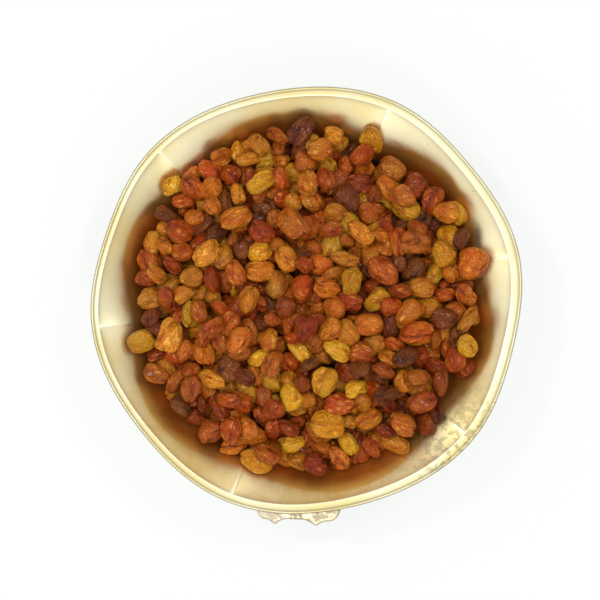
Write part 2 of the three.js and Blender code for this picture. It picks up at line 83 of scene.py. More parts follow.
def linear(red: int, green: int, blue: int) -> tuple[float, float, float, float]:
    """Turn a screen colour into the linear one that a shader takes.

    Args:
        red: The red part, from 0 to 255.
        green: The green part.
        blue: The blue part.

    Returns:
        The linear colour with full alpha.
    """
    shares = [value / 255 for value in (red, green, blue)]
    curve = [share / 12.92 if share <= 0.04045 else ((share + 0.055) / 1.055) ** 2.4 for share in shares]
    return (*curve, 1.0)


@dataclass(frozen=True)
class Pattern:
    """A cloudy pattern: how fine it is, how many octaves it has, and how strong the fine ones are."""

    scale: float
    octaves: float = 3.0
    fineness: float = 0.5


class NodeTree:
    """A node tree, with short calls to add nodes and join them."""

    def __init__(self, tree: bpy.types.NodeTree) -> None:
        """Take up a tree.

        Args:
            tree: The tree.
        """
        self.tree = tree

    def add(self, kind: str, inputs: dict[str, object] | None = None, **settings: object) -> bpy.types.Node:
        """Add a node.

        Args:
            kind: The node's type.
            inputs: Values or sockets for its inputs, by the input's name or number.
            settings: Values for the node's own properties.

        Returns:
            The node.
        """
        node = self.tree.nodes.new(kind)
        for key, value in settings.items():
            setattr(node, key, value)
        for key, value in (inputs or {}).items():
            self.feed(node.inputs[int(key) if key.isdigit() else key], value)
        return node

    def feed(self, socket: Socket, value: object) -> None:
        """Join a socket to another, or give it a value.

        Args:
            socket: The input.
            value: The output that feeds it, or its value.
        """
        if isinstance(value, Socket):
            self.tree.links.new(value, socket)
        else:
            socket.default_value = value


class Shader(NodeTree):
    """A material's node tree, with short calls for what a finish is made of."""

    def __init__(self, name: str) -> None:
        """Start a material with one Principled shader.

        Args:
            name: The material's name.
        """
        self.material = bpy.data.materials.new(name)
        self.material.use_nodes = True
        super().__init__(self.material.node_tree)
        self.surface = self.tree.nodes["Principled BSDF"]

    def set(self, **values: object) -> None:
        """Set the Principled shader's inputs; an underscore stands for a space."""
        for key, value in values.items():
            self.feed(self.surface.inputs[key.replace("_", " ")], value)

    def maths(self, operation: str, *values: object, clamp: bool = False) -> Socket:
        """Add a Math node.

        Args:
            operation: What it does.
            values: Its inputs in order.
            clamp: Whether the result stays between 0 and 1.

        Returns:
            The result.
        """
        inputs = {str(number): value for number, value in enumerate(values)}
        return self.add("ShaderNodeMath", inputs, operation=operation, use_clamp=clamp).outputs[0]

    def times(self, value: Socket, factor: object) -> Socket:
        """Return a value multiplied by a number or by another value."""
        return self.maths("MULTIPLY", value, factor)

    def vectors(self, operation: str, first: object, second: object, result: str = "Vector") -> Socket:
        """Add a Vector Math node.

        Args:
            operation: What it does.
            first: Its first vector.
            second: Its second vector.
            result: The output that is wanted.

        Returns:
            The result.
        """
        node = self.add("ShaderNodeVectorMath", {"0": first, "1": second}, operation=operation)
        return node.outputs[result]

    def noise(self, place: Socket, pattern: Pattern) -> Socket:
        """Add a Noise Texture.

        Args:
            place: Where it is read.
            pattern: How it looks.

        Returns:
            Its value, about 0.5 on average.
        """
        inputs = {
            "Vector": place, "Scale": pattern.scale, "Detail": pattern.octaves, "Roughness": pattern.fineness,
        }
        return self.add("ShaderNodeTexNoise", inputs).outputs["Fac"]

    def between(self, value: Socket, low: float, high: float) -> Socket:
        """Stretch a value so that low becomes 0 and high becomes 1, smoothly.

        Args:
            value: The value.
            low: What becomes 0.
            high: What becomes 1.

        Returns:
            The stretched value.
        """
        inputs = {"Value": value, "From Min": low, "From Max": high}
        return self.add("ShaderNodeMapRange", inputs, interpolation_type="SMOOTHSTEP").outputs[0]

    def spread(self, value: Socket, span: Span, result: Span) -> Socket:
        """Stretch a value evenly from one span to another, and hold it at the ends.

        Args:
            value: The value.
            span: The span that it has.
            result: The span that it gets.

        Returns:
            The stretched value.
        """
        inputs = dict(zip(("Value", "From Min", "From Max", "To Min", "To Max"), (value, *span, *result)))
        return self.add("ShaderNodeMapRange", inputs).outputs[0]

    def blend(self, share: object, first: object, second: object) -> Socket:
        """Mix two colours.

        Args:
            share: How much of the second.
            first: The first colour.
            second: The second colour.

        Returns:
            The mixed colour.
        """
        inputs = {"0": share, "6": first, "7": second}
        return self.add("ShaderNodeMix", inputs, data_type="RGBA").outputs[2]

    def bump(self, height: Socket, strength: float, distance: float, normal: Socket | None = None) -> Socket:
        """Add a Bump node.

        Args:
            height: The relief.
            strength: How much of it shows.
            distance: How high it is, in metres.
            normal: A coarser bump to start from.

        Returns:
            The normal.
        """
        inputs = {"Height": height, "Strength": strength, "Distance": distance}
        if normal is not None:
            inputs["Normal"] = normal
        return self.add("ShaderNodeBump", inputs).outputs["Normal"]

    def place(self) -> Socket:
        """Return Object coordinates in metres."""
        return self.add("ShaderNodeTexCoord").outputs["Object"]

    def attribute(self, name: str, part: str = "Fac") -> Socket:
        """Return one output, such as Fac or Vector, of the attribute of a name."""
        return self.add("ShaderNodeAttribute", attribute_name=name).outputs[part]


class Age(NamedTuple):
    """What tints the metal at each place, from 0 to 1: a painted reflection of the raisins with painted shade
    near them, a painted highlight on the edges, tarnish with painted shade, and the tarnished patch.
    """

    golden: Socket
    worn: Socket
    dulled: Socket
    patch: Socket


@dataclass(frozen=True)
class AgedBrass:
    """Pale brass, softly polished by hand, with faint dark spots and a cloudy patch.

    A piece may carry four point attributes, each from 0 to 1: how far a painted reflection of the raisins and
    painted shade next to them tint the metal, how far tarnish and painted shade darken it, how often it is
    rubbed, and where a painted highlight lines an edge. A relief is given as strength and depth in metres,
    and an edge as where a pattern starts and where it is full. The last two fields say how much rougher the
    patch, the painted reflection and the tarnish with painted shade are, and how much less metallic the
    painted reflection, the painted highlights and the tarnish with painted shade.
    """

    name: str
    bright: Screen
    warm: Screen
    # The third colour is a painted reflection of the raisins in the wall, the fourth painted shade next to
    # the heap, and the fifth serves tarnish and painted shade.
    stained: Screen
    deep: Screen
    dull: Screen
    rubbed: float
    gloss: float
    rough: float
    patch: Vector
    patch_reach: float
    crumb: Screen = (236, 208, 140)
    # The edge colour is a painted highlight along the scoops' edges and the lip.
    edge: Screen = (254, 249, 228)
    clouds: Pattern = Pattern(26, 3, 0.55)
    mottle: Pattern = Pattern(130, 5, 0.65)
    crumbs: Pattern = Pattern(1100, 2, 0.6)
    specks: Pattern = Pattern(900, 2, 0.6)
    blots: Pattern = Pattern(330, 4, 0.66)
    wiping: Pattern = Pattern(140, 4, 0.6)
    hammering: Pattern = Pattern(34, 1, 0.4)
    scuffs: Pattern = Pattern(520, 3, 0.6)
    hammer_relief: Span = (0.3, 0.0007)
    scuff_relief: Span = (0.06, 0.0002)
    mottle_most: float = 1.1
    patch_core: float = 0.2
    blot_edge: Span = (0.47, 0.56)
    worn_edge: Span = (0.2, 0.9)
    worn_most: float = 0.75
    dulled_most: float = 0.9
    crumb_edge: Span = (0.7, 0.76)
    speck_edge: Span = (0.69, 0.76)
    cloud_edge: Span = (0.36, 0.66)
    stain_edge: Span = (0.02, 0.24)
    deep_edge: Span = (0.2, 0.65)
    patch_share: float = 0.55
    speck_share: float = 0.4
    usual: Span = (0.3, 0.7)
    rougher: tuple[float, float, float] = (0.12, 0.2, 0.3)
    less_metal: tuple[float, float, float] = (0.45, 0.4, 0.35)

    def material(self) -> bpy.types.Material:
        """Build the finish.

        Returns:
            The material.
        """
        shader = Shader(self.name)
        place = shader.place()
        tints = self._age(shader, place)
        raised = shader.bump(shader.noise(place, self.hammering), *self.hammer_relief)
        shader.set(
            Base_Color=self._colour(shader, place, tints),
            Metallic=self._metal(shader, tints),
            Roughness=self._roughness(shader, place, tints),
            Normal=shader.bump(shader.noise(place, self.scuffs), *self.scuff_relief, raised),
        )
        return shader.material

    def _age(self, shader: Shader, place: Socket) -> Age:
        """Read the piece's attributes and scatter the cloudy patch, small blots that thin out to its edge.

        Args:
            shader: The material being built.
            place: Object coordinates.

        Returns:
            Its tints, painted light among them: the painted reflection, the painted highlight, tarnish with
                painted shade, and the patch.
        """
        mottle = shader.maths("SUBTRACT", shader.noise(place, self.mottle), 0.5)
        uneven = shader.times(mottle, self.mottle_most)
        away = shader.vectors("DISTANCE", place, self.patch, "Value")
        near = shader.spread(away, (self.patch_reach, self.patch_core * self.patch_reach), (0, 1))
        blots = shader.between(shader.noise(place, self.blots), *self.blot_edge)
        return Age(
            # Painted reflection of the raisins and painted shade near them, mottled.
            golden=shader.times(shader.attribute("golden"), shader.maths("ADD", uneven, 1.0)),
            # Painted highlight along the edges.
            worn=shader.times(shader.between(shader.attribute("worn"), *self.worn_edge), self.worn_most),
            # Tarnish, and painted shade along the lip.
            dulled=shader.times(shader.attribute("dull"), self.dulled_most),
            patch=shader.maths("MULTIPLY", near, blots, clamp=True),
        )

    def _colour(self, shader: Shader, place: Socket, tints: Age) -> Socket:
        """Lay the colours over each other: clouds, the painted reflection of the raisins, painted shade next
        to the heap, crumbs, tarnish, tarnish with painted shade, and the painted highlight on the edges last.

        Args:
            shader: The material being built.
            place: Object coordinates.
            tints: Its tints, painted light among them.

        Returns:
            The colour.
        """
        crumbs = shader.between(shader.noise(place, self.crumbs), *self.crumb_edge)
        specks = shader.between(shader.noise(place, self.specks), *self.speck_edge)
        coats = (
            (shader.between(shader.noise(place, self.clouds), *self.cloud_edge), self.warm),
            # Painted reflection of the raisins, then painted shade next to the heap.
            (shader.between(tints.golden, *self.stain_edge), self.stained),
            (shader.between(tints.golden, *self.deep_edge), self.deep),
            (shader.times(crumbs, tints.golden), self.crumb),
            (shader.times(tints.patch, self.patch_share), self.dull),
            (shader.times(specks, self.speck_share), self.dull),
            # Tarnish, and painted shade along the lip's groove, band and outer edge.
            (tints.dulled, self.dull),
            # Painted highlight on the edges.
            (tints.worn, self.edge),
        )
        colour = linear(*self.bright)
        for share, coat in coats:
            colour = shader.blend(share, colour, linear(*coat))
        return colour

    def _roughness(self, shader: Shader, place: Socket, tints: Age) -> Socket:
        """Roughen the metal where it is patchy, where the painted reflection lies and where tarnish and
        painted shade lie, and smooth it where it is rubbed.

        Args:
            shader: The material being built.
            place: Object coordinates.
            tints: Its tints, painted light among them.

        Returns:
            The roughness.
        """
        wiped = shader.spread(shader.noise(place, self.wiping), self.usual, (self.gloss, self.rough))
        inputs = {"Factor": shader.attribute("gloss"), "A": wiped, "B": self.rubbed}
        rough = shader.add("ShaderNodeMix", inputs).outputs[0]
        for share, more in zip((tints.patch, tints.golden, tints.dulled), self.rougher):
            rough = shader.maths("ADD", rough, shader.times(share, more), clamp=True)
        return rough

    def _metal(self, shader: Shader, tints: Age) -> Socket:
        """Return how metallic the surface is: less so under the painted reflection, under tarnish and painted
        shade, and on the painted highlight.

        Args:
            shader: The material being built.
            tints: Its tints, painted light among them.

        Returns:
            The metallic share.
        """
        stained, worn, dulled = self.less_metal
        metal = shader.maths("SUBTRACT", 1.0, shader.times(tints.golden, stained))
        for share, less in ((tints.worn, worn), (tints.dulled, dulled)):
            metal = shader.maths("SUBTRACT", metal, shader.times(share, less), clamp=True)
        return metal


@dataclass(frozen=True)
class RaisinSkin:
    """A dried grape's skin: translucent and wrinkled from end to end, darkened in its folds with painted
    shade, and pale on its ridges, partly dusty bloom and partly a painted highlight.

    A relief is given as strength and depth in metres, and an edge as where a colour starts and where it is
    full. Flesh is how far light goes under the skin, in metres and by its red, green and blue.
    """

    name: str
    # The fold colour is painted shade in the folds; the ridge colour is partly a painted highlight.
    fold: Screen
    body: Screen
    other: Screen
    ridge: Screen
    glow: float
    rough: float = 0.34
    clouds: Pattern = Pattern(0.8, 2, 0.5)
    pores: Pattern = Pattern(9, 3, 0.6)
    wander: Pattern = Pattern(1.3, 2, 0.5)
    cracks: Pattern = Pattern(2.6, 3, 0.6)
    crack_stretch: Vector = Vector((0.75, 1.0, 1.0))
    usual: Span = (0.3, 0.7)
    own_light: Span = (0.8, 1.2)
    mottling: Span = (0.76, 1.24)
    apart: Span = (37.0, 19.0)
    wrinkle_relief: Span = (1.0, 0.0008)
    pore_relief: Span = (0.5, 0.0003)
    smoother: float = 0.08
    rougher: float = 0.12
    flesh_depth: float = 0.0026
    flesh_light: tuple[float, float, float] = (1.0, 0.46, 0.06)
    wrinkle_share: float = 0.6
    own_pace: float = 13.7
    own_share: float = 0.5
    other_edge: Span = (0.55, 0.95)
    fold_edge: Span = (0.75, 0.2)
    ridge_edge: Span = (0.95, 1.4)
    ridge_share: float = 0.65
    crack_edge: Span = (0.0, 0.16)

    def material(self) -> bpy.types.Material:
        """Build the finish.

        Returns:
            The material.
        """
        shader = Shader(self.name)
        own = shader.attribute("own")
        steps = {axis: shader.times(own, step) for axis, step in zip("XY", self.apart)}
        shift = shader.add("ShaderNodeCombineXYZ", steps)
        grain = shader.vectors("ADD", shader.attribute("grain", "Vector"), shift.outputs[0])
        wrinkles = self._wrinkles(shader, grain)
        pores = shader.noise(grain, self.pores)
        wrinkled = shader.bump(wrinkles, *self.wrinkle_relief)
        sheen = (self.rough - self.smoother, self.rough + self.rougher)
        shader.set(
            Base_Color=self._colour(shader, own, grain, wrinkles, pores),
            Roughness=shader.spread(pores, self.usual, sheen),
            Normal=shader.bump(pores, *self.pore_relief, wrinkled),
        )
        shader.set(Subsurface_Weight=self.glow, Subsurface_Scale=self.flesh_depth)
        shader.set(Subsurface_Radius=self.flesh_light)
        shader.set(Specular_IOR_Level=0.18, Coat_Weight=0.24, Coat_Roughness=0.12, Coat_IOR=1.4)
        shader.set(Sheen_Weight=0.1, Sheen_Roughness=0.4, Sheen_Tint=linear(*self.ridge))
        return shader.material

    def _colour(self, shader: Shader, own: Socket, grain: Socket, wrinkles: Socket, pores: Socket) -> Socket:
        """Mix the raisin's two colours in clouds, darken its folds with painted shade, pale its ridges partly
        with a painted highlight, and mottle it.

        Args:
            shader: The material being built.
            own: The raisin's own number.
            grain: The raisin's own coordinates.
            wrinkles: The fine wrinkles' height.
            pores: The finest pattern.

        Returns:
            The colour.
        """
        depth = shader.maths("ADD", shader.attribute("fold"), shader.times(wrinkles, self.wrinkle_share))
        pick = shader.times(shader.maths("FRACT", shader.times(own, self.own_pace)), self.own_share)
        mixed = shader.maths("ADD", pick, shader.noise(grain, self.clouds))
        coats = (
            (shader.between(mixed, *self.other_edge), self.other),
            # Painted shade in the folds and cracks.
            (shader.between(depth, *self.fold_edge), self.fold),
            # Pale ridges, partly a painted highlight.
            (shader.times(shader.between(depth, *self.ridge_edge), self.ridge_share), self.ridge),
        )
        colour = linear(*self.body)
        for share, coat in coats:
            colour = shader.blend(share, colour, linear(*coat))
        own_light = shader.spread(own, (0, 1), self.own_light)
        light = shader.times(own_light, shader.spread(pores, self.usual, self.mottling))
        return shader.add("ShaderNodeVectorMath", {"0": colour, "Scale": light}, operation="SCALE").outputs[0]

    def _wrinkles(self, shader: Shader, grain: Socket) -> Socket:
        """Draw fine wrinkles that run from end to end and wander.

        Args:
            shader: The material being built.
            grain: The raisin's own coordinates: along it, and twice round it.

        Returns:
            Their height, from 0 in a crack to 1 on a ridge.
        """
        wander = shader.noise(grain, self.wander)
        aside = shader.add("ShaderNodeCombineXYZ", {"Y": wander, "Z": wander}).outputs[0]
        bent = shader.vectors("ADD", shader.vectors("MULTIPLY", grain, self.crack_stretch), aside)
        cracks = shader.maths("ABSOLUTE", shader.maths("SUBTRACT", shader.noise(bent, self.cracks), 0.5))
        return shader.between(cracks, *self.crack_edge)


@dataclass(frozen=True)
class PaleFloor:
    """The plain pale floor: almost white, and bright enough to hold hardly any shadow."""

    name: str = "pale_floor"
    colour: Screen = (138, 140, 140)
    own_light: Screen = (250, 252, 252)
    lift: float = 0.74

    def material(self) -> bpy.types.Material:
        """Build the finish.

        Returns:
            The material.
        """
        shader = Shader(self.name)
        shader.set(Base_Color=linear(*self.colour), Roughness=0.9, Specular_IOR_Level=0.1)
        shader.set(Emission_Color=linear(*self.own_light), Emission_Strength=self.lift)
        return shader.material


class Tone(Enum):
    """The colours that the raisins dried to."""

    # Each tone: fold colour as painted shade, body, other, ridge colour partly a painted highlight, and glow.
    GOLDEN = RaisinSkin("skin_golden", (166, 88, 0), (218, 158, 26), (212, 138, 16), (232, 186, 84), 0.5)
    AMBER = RaisinSkin("skin_amber", (142, 60, 0), (208, 130, 26), (192, 98, 10), (226, 168, 74), 0.46)
    ORANGE = RaisinSkin("skin_orange", (118, 38, 0), (198, 104, 20), (180, 68, 4), (218, 144, 62), 0.42)
    RUSSET = RaisinSkin("skin_russet", (86, 22, 0), (170, 78, 18), (152, 52, 4), (200, 116, 50), 0.38)
    PLUM = RaisinSkin("skin_plum", (52, 12, 0), (120, 52, 18), (128, 70, 20), (160, 96, 48), 0.32)


TONE_SHARES = {Tone.GOLDEN: 0.09, Tone.AMBER: 0.27, Tone.ORANGE: 0.32, Tone.RUSSET: 0.21, Tone.PLUM: 0.11}


def piece_from(name: str, points: np.ndarray, faces: Faces, material: bpy.types.Material) -> bpy.types.Object:
    """Make an object from points in millimetres from the bowl's own axis.

    Args:
        name: The piece's name.
        points: Its points, one row each.
        faces: Its faces, as numbers of points.
        material: Its finish.

    Returns:
        The object, in the row's frame.
    """
    mesh = bpy.data.meshes.new(name)
    mesh.from_pydata((points * MM + np.array(AXIS)).tolist(), [], faces)
    return as_object(name, mesh, material)


def as_object(name: str, mesh: bpy.types.Mesh, material: bpy.types.Material) -> bpy.types.Object:
    """Put a smooth mesh into the scene as an object.

    Args:
        name: The object's name.
        mesh: Its mesh.
        material: Its finish.

    Returns:
        The object.
    """
    mesh.materials.append(material)
    mesh.shade_smooth()
    piece = bpy.data.objects.new(name, mesh)
    bpy.context.scene.collection.objects.link(piece)
    return piece


def mark(mesh: bpy.types.Mesh, name: str, values: np.ndarray) -> None:
    """Store numbers or vectors on a mesh's points.

    Args:
        mesh: The mesh.
        name: The attribute's name.
        values: One value or one row for each point.
    """
    if values.ndim == 1:
        mesh.attributes.new(name, "FLOAT", "POINT").data.foreach_set("value", values.astype(np.float32))
    else:
        mesh.attributes.new(name, "FLOAT_VECTOR", "POINT").data.foreach_set("vector", values.ravel())


def eased_step(value: np.ndarray, span: Span) -> np.ndarray:
    """Return 0 where a value is under a span and 1 where it is over it, with a smooth step between."""
    share = np.clip((value - span[0]) / (span[1] - span[0]), 0, 1)
    return share * share * (3 - 2 * share)


def settle_in(piece: bpy.types.Object, node: str) -> bpy.types.Object:
    """Let a piece ride with the bowl in place of a solid, and log it.

    Args:
        piece: The piece.
        node: The solid's name, and that of its material slot.

    Returns:
        The piece.
    """
    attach(piece, BODY)
    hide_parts(node)
    LOG.info("%s: %d faces, for %s", piece.name, len(piece.data.polygons), node)
    return piece


def turned(radii: np.ndarray, angle: np.ndarray, heights: np.ndarray) -> np.ndarray:
    """Turn a section's radii and heights to angles round the axis.

    Args:
        radii: The radii, by section and ring.
        angle: The sections' angles in radians.
        heights: The heights, by section and ring.

    Returns:
        Points as an array of sections, rings and coordinates.
    """
    return np.stack([radii * np.cos(angle), radii * np.sin(angle), heights + 0 * angle], axis=2)


def skinned(sections: np.ndarray, poles: Span | None = None) -> tuple[np.ndarray, Faces]:
    """Join sections round the axis into one closed skin.

    Args:
        sections: Points as an array of sections, rings and coordinates, from the inside top to the outside.
        poles: The heights of the points on the axis that close the first and last ring; none on a ring.

    Returns:
        The points and the faces, facing out.
    """
    turns, rings, _ = sections.shape
    points = sections.reshape(-1, 3)
    faces = []
    last = rings if poles is None else rings - 1
    for turn in range(turns):
        here, there = turn * rings, (turn + 1) % turns * rings
        for ring in range(last):
            after = (ring + 1) % rings
            faces.append((here + ring, here + after, there + after, there + ring))
    if poles is not None:
        first, second = len(points), len(points) + 1
        points = np.vstack([points, [[0, 0, poles[0]], [0, 0, poles[1]]]])
        for turn in range(turns):
            here, there = turn * rings, (turn + 1) % turns * rings
            faces.append((first, here, there))
            faces.append((second, there + rings - 1, here + rings - 1))
    return points, faces


def arc(start: Span, pull: Span, end: Span, steps: int) -> list[Span]:
    """Sample a quadratic curve.

    Args:
        start: Where it starts, which isn't repeated.
        pull: The point that it bends towards.
        end: Where it ends.
        steps: How many points it gives.

    Returns:
        The points after the start.
    """
    points = []
    for k in range(1, steps + 1):
        t = k / steps
        first, second, third = (1 - t) ** 2, 2 * t * (1 - t), t * t
        points.append(tuple(first * a + second * b + third * c for a, b, c in zip(start, pull, end)))
    return points


def eased(points: list[tuple[float, ...]], steps: int) -> Iterator[tuple[float, ...]]:
    """Draw a smooth curve through points, keeping its ends sharp.

    Args:
        points: The points, as radius, height and anything else that changes along the curve.
        steps: Points for each stretch.

    Yields:
        Points on the curve.
    """
    ends = [points[0], *points, points[-1]]
    for before, here, there, after in zip(ends, ends[1:], ends[2:], ends[3:]):
        for k in range(steps):
            t = k / steps
            yield tuple(
                0.5 * (2 * b + (c - a) * t + (2 * a - 5 * b + 4 * c - d) * t * t
                       + (3 * b - a - 3 * c + d) * t ** 3)
                for a, b, c, d in zip(before, here, there, after)
            )
    yield points[-1]


def unit(vector: np.ndarray) -> np.ndarray:
    """Return a vector made one long."""
    return vector / math.sqrt(vector.dot(vector))


def waves(points: np.ndarray, pace: float, random: np.random.Generator, count: int = 14) -> np.ndarray:
    """Add up plane waves that run in random directions.

    Args:
        points: Where they are read.
        pace: How fast they change.
        random: The random numbers.
        count: How many there are.

    Returns:
        A smooth random field, mostly between -1 and 1.
    """
    directions = random.normal(size=(count, 3))
    paces = pace * random.uniform(*PACE_SPREAD, (count, 1))
    directions *= paces / np.linalg.norm(directions, axis=1, keepdims=True)
    phases = random.uniform(0, 2 * math.pi, count)
    return np.cos(points @ directions.T + phases).sum(axis=1) * math.sqrt(2 / count) * WAVE_HEIGHT


@dataclass(frozen=True)
class BowlForm:
    """The bowl's shape in millimetres, in the same formulas as its solid."""

    lip_radius: float = 90
    lip_wave: float = 1.05
    lip_lift: float = 0.8
    lift_starts: float = 55
    bead_width: float = 3.8
    bead_height: float = 3
    wall: float = 1.6
    floor_top: float = 14
    floor_radius: float = 34
    wall_starts: float = 50
    flare_starts: float = 74
    wall_slope: float = 1.04
    flare_slope: float = 0.42
    rib_angles: tuple[float, ...] = (12.5, 67, 135, 187.5, 249, 320)
    rib_height: float = 4.5
    rib_starts: float = 36
    rib_peak: float = 68
    rib_softness: float = 0.16

    @property
    def crease(self) -> float:
        """The nominal radius at which the wall meets the bead."""
        return self.lip_radius - self.bead_width

    @property
    def lip_crest(self) -> float:
        """The height of the lip at a rib."""
        return float(self.height(self.crease, math.radians(self.rib_angles[0]))) + self.bead_height / 2

    @property
    def ribs(self) -> np.ndarray:
        """The ribs' angles in radians, with the first one again, a turn on, at the end."""
        return np.radians([*self.rib_angles, self.rib_angles[0] + 360])

    @property
    def stations(self) -> list[float]:
        """The nominal radii at which the wall's slope changes."""
        return [self.floor_radius, self.wall_starts, self.flare_starts, self.crease]

    def past_rib(self, angle: np.ndarray | float) -> tuple[np.ndarray, np.ndarray]:
        """Measure how far angles lie past a rib, and how far the next rib is from that one.

        Args:
            angle: Angles in radians.

        Returns:
            The two distances in radians.
        """
        starts = self.ribs - self.ribs[0]
        turned_by = np.mod(np.asarray(angle) - self.ribs[0], 2 * math.pi)
        last = np.clip(np.searchsorted(starts, turned_by, side="right") - 1, 0, len(self.rib_angles) - 1)
        return turned_by - starts[last], starts[last + 1] - starts[last]

    def lobe(self, angle: np.ndarray | float) -> np.ndarray:
        """Find where angles lie between two ribs.

        Args:
            angle: Angles in radians.

        Returns:
            The place, from -1 at one rib to 1 at the next.
        """
        past, apart = self.past_rib(angle)
        return 2 * past / apart - 1

    def rib_share(self, angle: np.ndarray | float) -> np.ndarray:
        """Find how much of a rib there is.

        Args:
            angle: Angles in radians.

        Returns:
            The share, from 0 to 1.
        """
        soft = self.rib_softness
        opening = np.sqrt((1 - self.lobe(angle) ** 2) ** 2 + soft ** 2) - soft
        return 1 - opening / (math.sqrt(1 + soft ** 2) - soft)

    def widening(self, angle: np.ndarray | float) -> np.ndarray:
        """Return how much wider than nominal the bowl is at angles in radians."""
        return 1 - self.lip_wave / self.lip_radius * np.cos(math.pi * self.lobe(angle))

    def slope(self, radius: np.ndarray | float) -> np.ndarray:
        """Return the plain wall's rise over run at nominal radii."""
        return np.interp(radius, self.stations, [0, self.wall_slope, self.wall_slope, self.flare_slope])

    def rise(self, radius: np.ndarray | float) -> np.ndarray:
        """Sum the slope up.

        Args:
            radius: Nominal radii.

        Returns:
            The plain wall's height over the floor.
        """
        radius = np.asarray(radius, dtype=float)
        total = np.zeros_like(radius)
        for start, end in zip(self.stations, self.stations[1:]):
            to = np.clip(radius, start, end)
            total += (to - start) * (self.slope(start) + self.slope(to)) / 2
        return total

    def rib(self, radius: np.ndarray | float) -> np.ndarray:
        """Return a rib's height at nominal radii."""
        share = np.interp(radius, [self.rib_starts, self.rib_peak, self.crease], [0, 1, 0])
        return self.rib_height * np.sin(share * math.pi / 2) ** 2

    def height(self, radius: np.ndarray | float, angle: np.ndarray | float) -> np.ndarray:
        """Find the inner surface.

        Args:
            radius: Nominal radii.
            angle: Angles in radians.

        Returns:
            The surface's height over the table.
        """
        lift = np.clip((np.asarray(radius) - self.lift_starts) / (self.crease - self.lift_starts), 0, 1)
        wave = -0.5 * self.lip_lift * np.cos(math.pi * self.lobe(angle)) * lift
        return self.floor_top + self.rise(radius) + self.rib(radius) * self.rib_share(angle) + wave

    def steep(self, thickness: float, radius: np.ndarray | float) -> np.ndarray:
        """Return a thickness square to the wall as a height."""
        return thickness * np.sqrt(1 + self.slope(radius) ** 2)


FORM = BowlForm()
_LOW, _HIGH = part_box("foot_ring")
AXIS = ((_LOW[0] + _HIGH[0]) / 2, (_LOW[1] + _HIGH[1]) / 2, 0.0)
FOOT_HEIGHT = (_HIGH[2] - _LOW[2]) / MM


@dataclass(frozen=True)
class Stain:
    """A painted reflection of the raisins on the wall, with painted shade next to the heap, by nominal radius
    in millimetres and angle in degrees.

    It reaches up in an arch in each lobe, and higher on one side of the bowl, which is painted darker. A thin
    share of it goes on to the ledge.
    """

    reach: float = 74
    arch_reach: float = 8.3
    arch_power: float = 1.8
    # The side of the bowl that is painted darker, in degrees.
    side: float = 266
    side_reach: float = 2.6
    fade: float = 11
    arch_film: float = 0.05
    side_film: float = 0.1

    def at(self, radius: np.ndarray, angle: np.ndarray) -> np.ndarray:
        """Find how strong the painted reflection and shade are.

        Args:
            radius: Nominal radii.
            angle: Angles in radians.

        Returns:
            Its share, from 0 to 1.
        """
        arch = np.clip(1 - FORM.lobe(angle) ** 2, 0, 1)
        side = np.clip(np.cos(angle - math.radians(self.side)), 0, 1)
        reach = self.reach + self.arch_reach * arch ** self.arch_power + self.side_reach * side
        least_share = self.arch_film * arch + self.side_film * side
        return np.maximum(np.clip((reach - radius) / self.fade, 0, 1), least_share)


